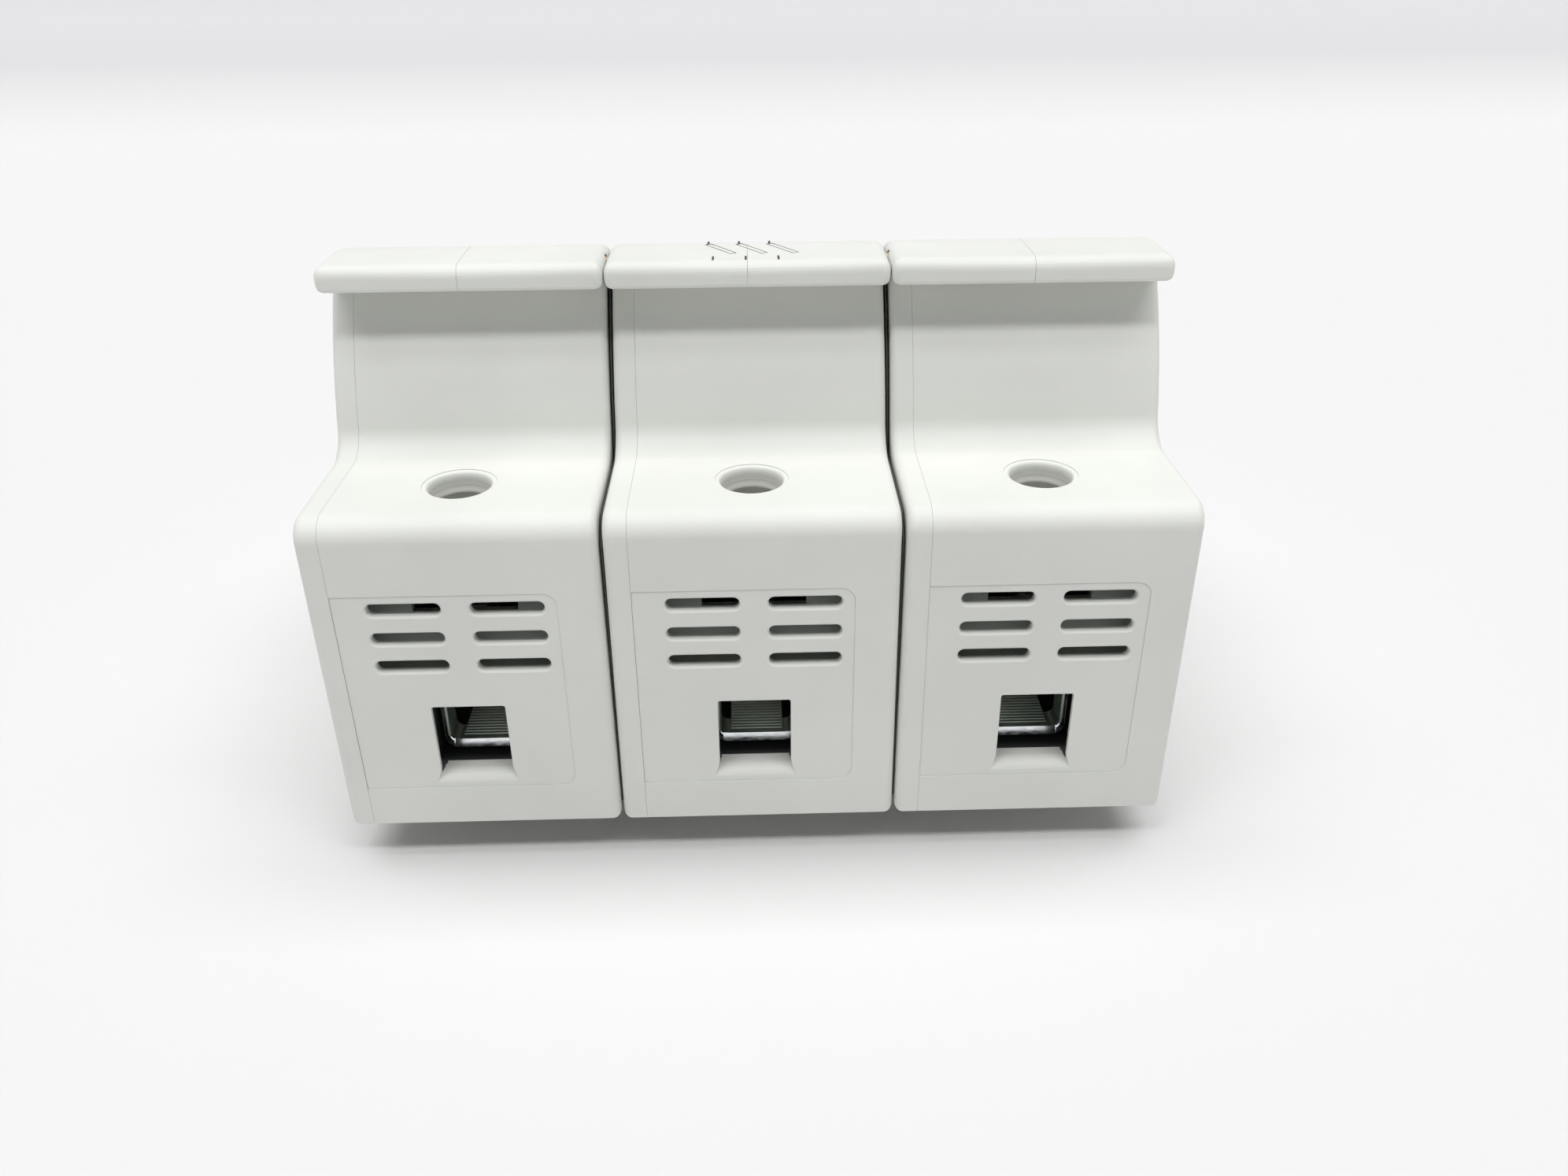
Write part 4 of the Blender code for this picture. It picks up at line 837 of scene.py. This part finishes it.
latch = {"half": 6.2, "tipY": 78.0, "endY": 121.0, "z": (2.0, 4.9), "tipRound": 0.8, "endRound": 1.5, "ramp": 2.4,
         "windowY": (91.0, 103.0), "windowHalf": 3.7, "windowRound": 0.6, "pullY": (116.4, 118.6),
         "pullHalf": 2.0, "pullRound": 0.5, "edge": 0.25, "cutZ": (0.0, 6.0), "over": 1.0}
leaf = {"y": (91.55, 99.65), "across": 2.75, "z": (2.3, 4.6), "folds": 3, "bend": 0.9, "thick": 0.5, "bendSteps": 6}


def buildLatch():
    t, over = latch, latch["over"]
    plate = block([(-t["half"], t["tipY"], t["tipRound"]), (t["half"], t["tipY"], t["tipRound"]),
                   (t["half"], t["endY"], t["endRound"]), (-t["half"], t["endY"], t["endRound"])], *t["z"], "z")
    softenSharp(plate, t["edge"], steps=2)
    before, below = t["tipY"] - over, t["z"][0] - over
    ramp = block([(before, below, 0), (t["tipY"] + t["ramp"], below, 0), (before, t["z"][0] + t["ramp"], 0)],
                 -t["half"] - over, t["half"] + over, "x")
    openings = (t["windowHalf"], t["windowY"], t["windowRound"]), (t["pullHalf"], t["pullY"], t["pullRound"])
    return cut(plate, ramp, *[block(rectangle(-half, low, half, high, radius), *t["cutZ"], "z")
                              for half, (low, high), radius in openings])


def buildLeaf():
    # a zigzag line raised into a strip, with its folds rounded, then given its thickness
    s = leaf
    bm = bmesh.new()
    low, high = s["y"]
    path = [(-s["across"], low)]
    for fold in range(s["folds"]):
        side = s["across"] if fold % 2 == 0 else -s["across"]
        path += [(side, low + (high - low) * step / s["folds"]) for step in (fold, fold + 1)]
    path.append((-path[-1][0], high))
    verts = [bm.verts.new((x, y, s["z"][0])) for x, y in path]
    edges = [bm.edges.new(pair) for pair in zip(verts, verts[1:])]
    raised = bmesh.ops.extrude_edge_only(bm, edges=edges)["geom"]
    bmesh.ops.translate(bm, verts=onlyVerts(raised), vec=(0, 0, s["z"][1] - s["z"][0]))
    roundEdges(bm, [edge for edge in bm.edges if len(edge.link_faces) == 2], s["bend"], s["bendSteps"])
    strip = asObject(faceOut(bm))
    thick = strip.modifiers.new("thickness", "SOLIDIFY")
    thick.thickness = s["thick"]
    thick.offset = 0
    return evaluated(strip)


# rivets through the three poles, and pins that tie the handles

rivet = {  # its end is drawn from the dimple out to the shank, as radius and depth
    "end": ((0.0, 0.5), (0.75, 0.5), (0.85, 0.15), (1.1, 0.0), (1.4, 0.02), (1.72, 0.3), (1.67, 0.55), (1.5, 0.7)),
    "recess": 0.4, "steps": 32,
}
tie = {"radius": 0.9, "half": 3.3, "edge": 0.2, "steps": 24}


def buildRivet(seat):
    end = (poleMiddle["3"] - poleMiddle["1"]) / mm / 2 + halfWidth - rivet["recess"]
    half = [(radius, end - depth) for radius, depth in rivet["end"]]
    profile = [(radius, -height) for radius, height in half] + half[::-1]
    return spinRound(profile, (0, *seat), "x", rivet["steps"])


def buildTie(x):
    t = tie
    return edgedBar(t["radius"], -t["half"], t["half"], t["edge"], (x, *carrier["tieYz"]), "x", t["steps"])


# printed circuit symbols on the middle handle: a fused switch for each pole

symbol = {"firstX": -5.6, "pitch": 4.4, "topY": 37.9, "pivotY": 36.4, "boxEnd": (3.65, -5.4), "boxHalf": 0.45,
          "lowX": -4.78, "lowPitch": 4.56, "lowY": (29.3, 27.6), "line": 0.3, "boxLine": 0.17, "lift": 0.01}


def inkStroke(bm, start, end, width):
    # one thin printed line, lying on the plate
    along = Vector(end) - Vector(start)
    place = Matrix.Translation((*((Vector(start) + Vector(end)) / 2), carrier["topZ"]))
    size = Matrix.Diagonal((along.length + width, width, symbol["lift"], 1))
    turn = Matrix.Rotation(Vector((1, 0)).angle_signed(along) * -1, 4, "Z")
    bmesh.ops.create_cube(bm, size=1, matrix=place @ turn @ size)


def buildSymbols():
    s, bm = symbol, bmesh.new()
    for pole in range(len(poles)):
        x, low = s["firstX"] + pole * s["pitch"], s["lowX"] + pole * s["lowPitch"]
        pivot = Vector((x, s["pivotY"]))
        tip = pivot + Vector(s["boxEnd"])
        side = (tip - pivot).orthogonal().normalized() * s["boxHalf"]
        inkStroke(bm, (x, s["topY"]), pivot, s["line"])
        for a, b in ((pivot + side, tip + side), (pivot - side, tip - side), (pivot - side, pivot + side),
                     (tip - side, tip + side)):
            inkStroke(bm, a, b, s["boxLine"])
        inkStroke(bm, *((low, y) for y in s["lowY"]), s["line"])
    return bm


# finishes, all on Object coordinates (metres)

plastic = {"cloud": (45, 3), "tone": (0.965, 1.02), "patches": (160, 4), "gloss": (-0.05, 0.06), "grain": (5200, 3),
           "bump": (0.16, 0.00006), "specular": 0.35}
metal = {"cloud": (90, 5), "cloudStops": (0.35, 0.62), "lines": (900, 4, (1, 6, 1)), "lineStops": (0.3, 0.75),
         "gloss": (-0.07, 0.12), "etchDepth": 0.00004}
fibre = {"wind": (220, 5, (0.6, 9, 0.6)), "tone": ((0.40, 0.29, 0.19), (0.52, 0.40, 0.28)), "gloss": (0.5, 0.68),
         "bump": (0.12, 0.0001)}


def newLook(name):
    look = bpy.data.materials.new(name)
    look.use_nodes = True
    look.node_tree.nodes.new("ShaderNodeTexCoord").name = "place"
    return look, look.node_tree


def shaderInput(tree, name):
    return tree.nodes["Principled BSDF"].inputs[name]


def grain(tree, scale, detail, stretch=None):
    # a noise pattern, drawn out along an axis where stretch is given
    noise = tree.nodes.new("ShaderNodeTexNoise")
    noise.inputs["Scale"].default_value = scale
    noise.inputs["Detail"].default_value = detail
    place = tree.nodes["place"].outputs["Object"]
    if stretch:
        mapping = tree.nodes.new("ShaderNodeMapping")
        mapping.inputs["Scale"].default_value = stretch
        tree.links.new(place, mapping.inputs["Vector"])
        place = mapping.outputs["Vector"]
    tree.links.new(place, noise.inputs["Vector"])
    return noise.outputs["Fac"]


def ramp(tree, name, value, low, high, stops=(0.3, 0.7)):
    # leads a shader input from one colour or grey to another along a value
    made = tree.nodes.new("ShaderNodeValToRGB")
    for element, position, color in zip(made.color_ramp.elements, stops, (low, high)):
        element.position = position
        element.color = (*color, 1.0) if isinstance(color, tuple) else (color, color, color, 1.0)
    tree.links.new(value, made.inputs["Fac"])
    tree.links.new(made.outputs["Color"], shaderInput(tree, name))


def bump(tree, height, strength, distance):
    made = tree.nodes.new("ShaderNodeBump")
    made.inputs["Strength"].default_value = strength
    made.inputs["Distance"].default_value = distance
    tree.links.new(height, made.inputs["Height"])
    tree.links.new(made.outputs["Normal"], shaderInput(tree, "Normal"))


def shade(color, by):
    return tuple(channel * by for channel in color)


def mouldedLook(name, color, gloss):
    # matt moulded plastic: cloudy colour, a fine spark-eroded grain and patchy gloss
    p, (look, tree) = plastic, newLook(name)
    ramp(tree, "Base Color", grain(tree, *p["cloud"]), *(shade(color, by) for by in p["tone"]))
    ramp(tree, "Roughness", grain(tree, *p["patches"]), *(gloss + by for by in p["gloss"]))
    bump(tree, grain(tree, *p["grain"]), *p["bump"])
    shaderInput(tree, "Specular IOR Level").default_value = p["specular"]
    return look


def metalLook(name, color, tarnish, gloss, etch=0.1):
    # plated or rolled metal: clouded tone, brushed gloss and faint scratches
    m, (look, tree) = metal, newLook(name)
    lines = grain(tree, *m["lines"])
    ramp(tree, "Base Color", grain(tree, *m["cloud"]), tarnish, color, m["cloudStops"])
    ramp(tree, "Roughness", lines, *(gloss + by for by in m["gloss"]), m["lineStops"])
    bump(tree, lines, etch, m["etchDepth"])
    shaderInput(tree, "Metallic").default_value = 1.0
    return look


def fibreLook(name):
    # wound fibre tube: fine bands round the barrel under a dull lacquer
    f, (look, tree) = fibre, newLook(name)
    wind = grain(tree, *f["wind"])
    ramp(tree, "Base Color", wind, *f["tone"])
    ramp(tree, "Roughness", wind, *f["gloss"])
    bump(tree, wind, *f["bump"])
    return look


plasticGrey = (0.69, 0.70, 0.665)
housingLook = mouldedLook("housingPlastic", plasticGrey, 0.46)
handleLook = mouldedLook("handlePlastic", shade(plasticGrey, 1.02), 0.44)
seamLook = mouldedLook("seamShade", (0.48, 0.44, 0.36), 0.7)
ledgeLook = mouldedLook("ledgeShade", (0.49, 0.50, 0.455), 0.6)
plenumLook = mouldedLook("plenumShade", (0.42, 0.45, 0.41), 0.6)
roomLook = mouldedLook("roomShade", (0.075, 0.08, 0.078), 0.6)
# near black, for the sheets that stand in for the shade in the gaps between the poles
shadeSheetLook = mouldedLook("gapShadeSheet", (0.055, 0.057, 0.05), 0.55)
latchLook = mouldedLook("latchPlastic", (0.19, 0.20, 0.20), 0.5)
zincLook = metalLook("zincPlate", (0.88, 0.91, 0.93), (0.80, 0.84, 0.86), 0.17, etch=0.02)
# the clamp cage's inside: darker zinc as painted shade
cageShadeLook = metalLook("cageInsideShade", (0.52, 0.59, 0.53), (0.41, 0.47, 0.42), 0.5)
screwLook = metalLook("screwSteel", (0.84, 0.85, 0.80), (0.70, 0.71, 0.66), 0.42)
copperLook = metalLook("tinnedCopper", (0.74, 0.70, 0.64), (0.60, 0.52, 0.44), 0.36)
brassLook = metalLook("capBrass", (0.74, 0.58, 0.32), (0.58, 0.43, 0.22), 0.30)
springLook = metalLook("springSteel", (0.46, 0.47, 0.48), (0.33, 0.33, 0.34), 0.38)
tieLook = metalLook("tiePin", (0.46, 0.39, 0.30), (0.33, 0.27, 0.20), 0.45)
barrelLook = fibreLook("fibreTube")
inkLook = mouldedLook("printInk", (0.05, 0.05, 0.05), 0.6)


print("modelling the housings")
mainShell, coverShell = buildMainShell(), buildCoverShell()
markFaces(mainShell, 1, onParting(housing["partingX"] + housing["seam"] / 2))
markFaces(coverShell, 1, onParting(housing["partingX"] - housing["seam"] / 2))
markFaces(mainShell, 3, inPlenum)
markFaces(mainShell, 2, inRoom)
markFaces(mainShell, 4, onLedge)
leanMain, leanCover = leanWall(mainShell, 1), leanWall(coverShell, -1)
print("modelling the carriers and fuses")
outerHalf, innerHalf = (buildCarrierHalf(carrier[end]) for end in ("outerEnd", "innerEnd"))
for half in (outerHalf, innerHalf):
    markFaces(half, 1, onParting(carrier["seam"] / 2))
outerLeft, innerLeft = (mirrorCopy(half, acrossPole) for half in (outerHalf, innerHalf))
barrel = buildBarrel()
capLine = buildCap(fuse["y"][0], Matrix.Identity(4))
capLoad = buildCap(fuse["y"][1], Matrix.Rotation(pi, 4, "Z"))
print("modelling the terminals, clips and latches")
cageLine, screwLine = buildCage(), buildScrew()
markFaces(cageLine, 1, insideCage)
cageLoad, screwLoad = (turnedCopy(bm, halfRound) for bm in (cageLine, screwLine))
clipLine, clipLoad = buildLineClip(), buildLoadClip()
bandLine, bandLoad = buildBand(band["lineY"]), buildBand(band["loadY"])
latchPlate, latchLeaf = buildLatch(), buildLeaf()
for n in poles:
    first, last = n == poles[0], n == poles[-1]
    made = [  # shape, name, looks, body, node and slot
        (mainShell if last else leanMain, "mainShell", [housingLook, seamLook, roomLook, plenumLook, ledgeLook],
         "housing", "housing_main", "housing_plastic"),
        (coverShell if first else leanCover, "coverShell", [housingLook, seamLook], "housing", "housing_cover",
         "housing_plastic"),
        (outerHalf if last else innerHalf, "handleRight", [handleLook, seamLook], "carriers", "carrier_right",
         "handle_plastic"),
        (outerLeft if first else innerLeft, "handleLeft", [handleLook, seamLook], "carriers", "carrier_left",
         "handle_plastic"),
        (barrel, "fuseBody", [barrelLook], "carriers", "fuse_barrel", "fuse_fibre"),
        (capLine, "capLine", [brassLook], "carriers", "fuse_cap_line", "cap_brass"),
        (capLoad, "capLoad", [brassLook], "carriers", "fuse_cap_load", "cap_brass"),
        (clipLine, "clipLine", [copperLook], "housing", "clip_line", "clip_copper"),
        (clipLoad, "clipLoad", [copperLook], "housing", "clip_load", "clip_copper"),
        (bandLine, "bandLine", [springLook], "housing", "clip_spring_line", "spring_steel"),
        (bandLoad, "bandLoad", [springLook], "housing", "clip_spring_load", "spring_steel"),
    ]
    for end, cageShape, screwShape in (("line", cageLine, screwLine), ("load", cageLoad, screwLoad)):
        made += [
            (cageShape, "clampCage_" + end, [zincLook, cageShadeLook], f"cage_{end}_{n}", "clamp_cage_" + end,
             "zinc_plate"),
            (screwShape, "clampScrew_" + end, [screwLook], f"screw_{end}_{n}", "clamp_screw_" + end, "screw_steel"),
        ]
    made.append((latchPlate, "latchPlate", [latchLook], "latch_" + n, "rail_latch", "latch_plastic"))
    for shape, name, looks, body, node, slotName in made:
        finishPiece(shape, f"{name}_{n}", n, looks, body, f"{node}_{n}")
    spring = finishPiece(latchLeaf, "latchLeaf_" + n, n, [springLook], "housing", "latch_spring_" + n)
    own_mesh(spring)
for i, seat in enumerate(rivetSeat["yz"], 1):
    finishPiece(buildRivet(seat), f"rivet_{i}", None, [springLook], "housing", f"through_rivet_{i}")
for i, (left, right) in enumerate(zip(poles, poles[1:]), 1):
    between = (poleMiddle[left] + poleMiddle[right]) / 2 / mm
    finishPiece(buildShadeSheet(between), f"gapShadeSheet_{i}", None, [shadeSheetLook], "housing", None)
    finishPiece(buildTie(between), f"handleTie_{i}", None, [tieLook], "carriers", f"handle_tie_{i}")
finishPiece(buildSymbols(), "handleSymbols", "2", [inkLook], "carriers", None)


# stage, light and camera

stageSet = {"half": 9.0, "backY": 2.2, "bend": 0.8, "bendSteps": 16, "height": 2.0, "white": (0.68, 0.68, 0.68),
            "grey": (0.56, 0.56, 0.57), "fade": (0.6, 1.0), "roughness": 0.9, "shownWhite": 0.935}


def buildStage():
    s, bm = stageSet, bmesh.new()
    front, foot, top = (bm.verts.new((-s["half"], y, z)) for y, z in
                        ((-s["half"], 0), (s["backY"], 0), (s["backY"], s["height"])))
    edges = [bm.edges.new((front, foot)), bm.edges.new((foot, top))]
    wide = bmesh.ops.extrude_edge_only(bm, edges=edges)["geom"]
    bmesh.ops.translate(bm, verts=onlyVerts(wide), vec=(2 * s["half"], 0, 0))
    roundEdges(bm, [edge for edge in bm.edges if len(edge.link_faces) == 2], s["bend"], s["bendSteps"])
    sweep = asObject(faceOut(bm), "stageSweep")
    sweep.data.shade_smooth()
    look, tree = newLook("stagePaper")
    parts = tree.nodes.new("ShaderNodeSeparateXYZ")
    tree.links.new(tree.nodes["place"].outputs["Object"], parts.inputs[0])
    ramp(tree, "Base Color", parts.outputs["Y"], s["white"], s["grey"], s["fade"])
    shaderInput(tree, "Roughness").default_value = s["roughness"]
    shaderInput(tree, "Specular IOR Level").default_value = 0.0
    sweep.data.materials.append(look)


lightSet = {
    "horizon": 0.30, "zenith": 0.02, "sides": 0.16, "reach": 36.0, "soft": 0.3, "leastHeight": 0.01, "stripsFrom": 0.1,
    # tilt to the front and half width in degrees, and strength
    "strips": ((-9.5, 9.5, 4.9), (9.5, 4.0, 3.75), (23.0, 4.0, 10.5)),
}


def buildLight():
    # a studio sky: dim round the horizon, with three long soft boxes overhead that reach to both sides
    s = lightSet
    world = bpy.data.worlds.new("studio")
    bpy.context.scene.world = world
    world.use_nodes = True
    nodes, links = world.node_tree.nodes, world.node_tree.links

    def math(operation, first, second=0.0, third=0.0):
        made = nodes.new("ShaderNodeMath")
        made.operation = operation
        for socket, value in zip(made.inputs, (first, second, third)):
            if isinstance(value, float):
                socket.default_value = value
            else:
                links.new(value, socket)
        return made.outputs[0]

    def within(value, middle, half):
        # 1 inside middle +- half, with soft ends
        away = math("ABSOLUTE", math("SUBTRACT", value, middle))
        made = nodes.new("ShaderNodeMapRange")
        made.interpolation_type = "SMOOTHSTEP"
        for name, number in (("From Min", half * (1 + s["soft"])), ("From Max", half * (1 - s["soft"]))):
            made.inputs[name].default_value = number
        links.new(away, made.inputs["Value"])
        return made.outputs["Result"]

    parts = nodes.new("ShaderNodeSeparateXYZ")
    links.new(nodes.new("ShaderNodeTexCoord").outputs["Generated"], parts.inputs[0])
    x, y, z = parts.outputs
    height = math("MAXIMUM", z, s["leastHeight"])
    forward = math("DIVIDE", math("MULTIPLY", y, -1.0), height)
    across = within(math("DIVIDE", x, height), 0.0, tan(radians(s["reach"])))
    above = math("GREATER_THAN", z, s["stripsFrom"])
    glow = math("MULTIPLY_ADD", height, s["zenith"] - s["horizon"], s["horizon"])
    glow = math("MULTIPLY_ADD", math("MULTIPLY", x, x), s["sides"], glow)
    for tilt, half, strength in s["strips"]:
        middle = tan(radians(tilt))
        strip = within(forward, middle, tan(radians(tilt + half)) - middle)
        glow = math("MULTIPLY_ADD", math("MULTIPLY", math("MULTIPLY", strip, across), above), strength, glow)
    fill = nodes["Background"]
    fill.inputs["Color"].default_value = (1.0, 1.0, 1.0, 1.0)
    links.new(glow, fill.inputs["Strength"])
    shown = nodes.new("ShaderNodeBackground")
    shown.inputs["Color"].default_value = (1.0, 1.0, 1.0, 1.0)
    shown.inputs["Strength"].default_value = stageSet["shownWhite"]
    ray = nodes.new("ShaderNodeLightPath")
    seen = math("MAXIMUM", math("MAXIMUM", ray.outputs["Is Camera Ray"], ray.outputs["Is Glossy Ray"]),
                ray.outputs["Is Transmission Ray"])
    mix = nodes.new("ShaderNodeMixShader")
    links.new(seen, mix.inputs["Fac"])
    links.new(fill.outputs[0], mix.inputs[1])
    links.new(shown.outputs[0], mix.inputs[2])
    links.new(mix.outputs[0], nodes["World Output"].inputs["Surface"])


view = {"place": (0.00049, -0.20836, 0.12596), "pitch": 28.874, "yaw": 1.395, "roll": 0.450, "focalPx": 1591.86,
        "imageWide": 1992, "sensor": 36.0, "clipStart": 0.01}


def buildCamera():
    v = view
    pitch, yaw, roll = (radians(v[turn]) for turn in ("pitch", "yaw", "roll"))
    ahead = Vector((sin(yaw) * cos(pitch), cos(yaw) * cos(pitch), -sin(pitch)))
    level = Vector((cos(yaw), -sin(yaw), 0))
    below = ahead.cross(level)
    right = level * cos(roll) + below * sin(roll)
    down = below * cos(roll) - level * sin(roll)
    lens = bpy.data.cameras.new("photoView")
    lens.sensor_fit = "HORIZONTAL"
    lens.sensor_width = v["sensor"]
    lens.lens = v["sensor"] * v["focalPx"] / v["imageWide"]
    lens.clip_start = v["clipStart"]
    camera = bpy.data.objects.new("photoView", lens)
    camera.matrix_world = Matrix.Translation(v["place"]) @ Matrix((right, -down, -ahead)).transposed().to_4x4()
    bpy.context.scene.collection.objects.link(camera)
    bpy.context.scene.camera = camera


print("setting the stage")
buildStage()
buildLight()
buildCamera()
bpy.context.scene.view_settings.view_transform = "Standard"
print("pieces finished")
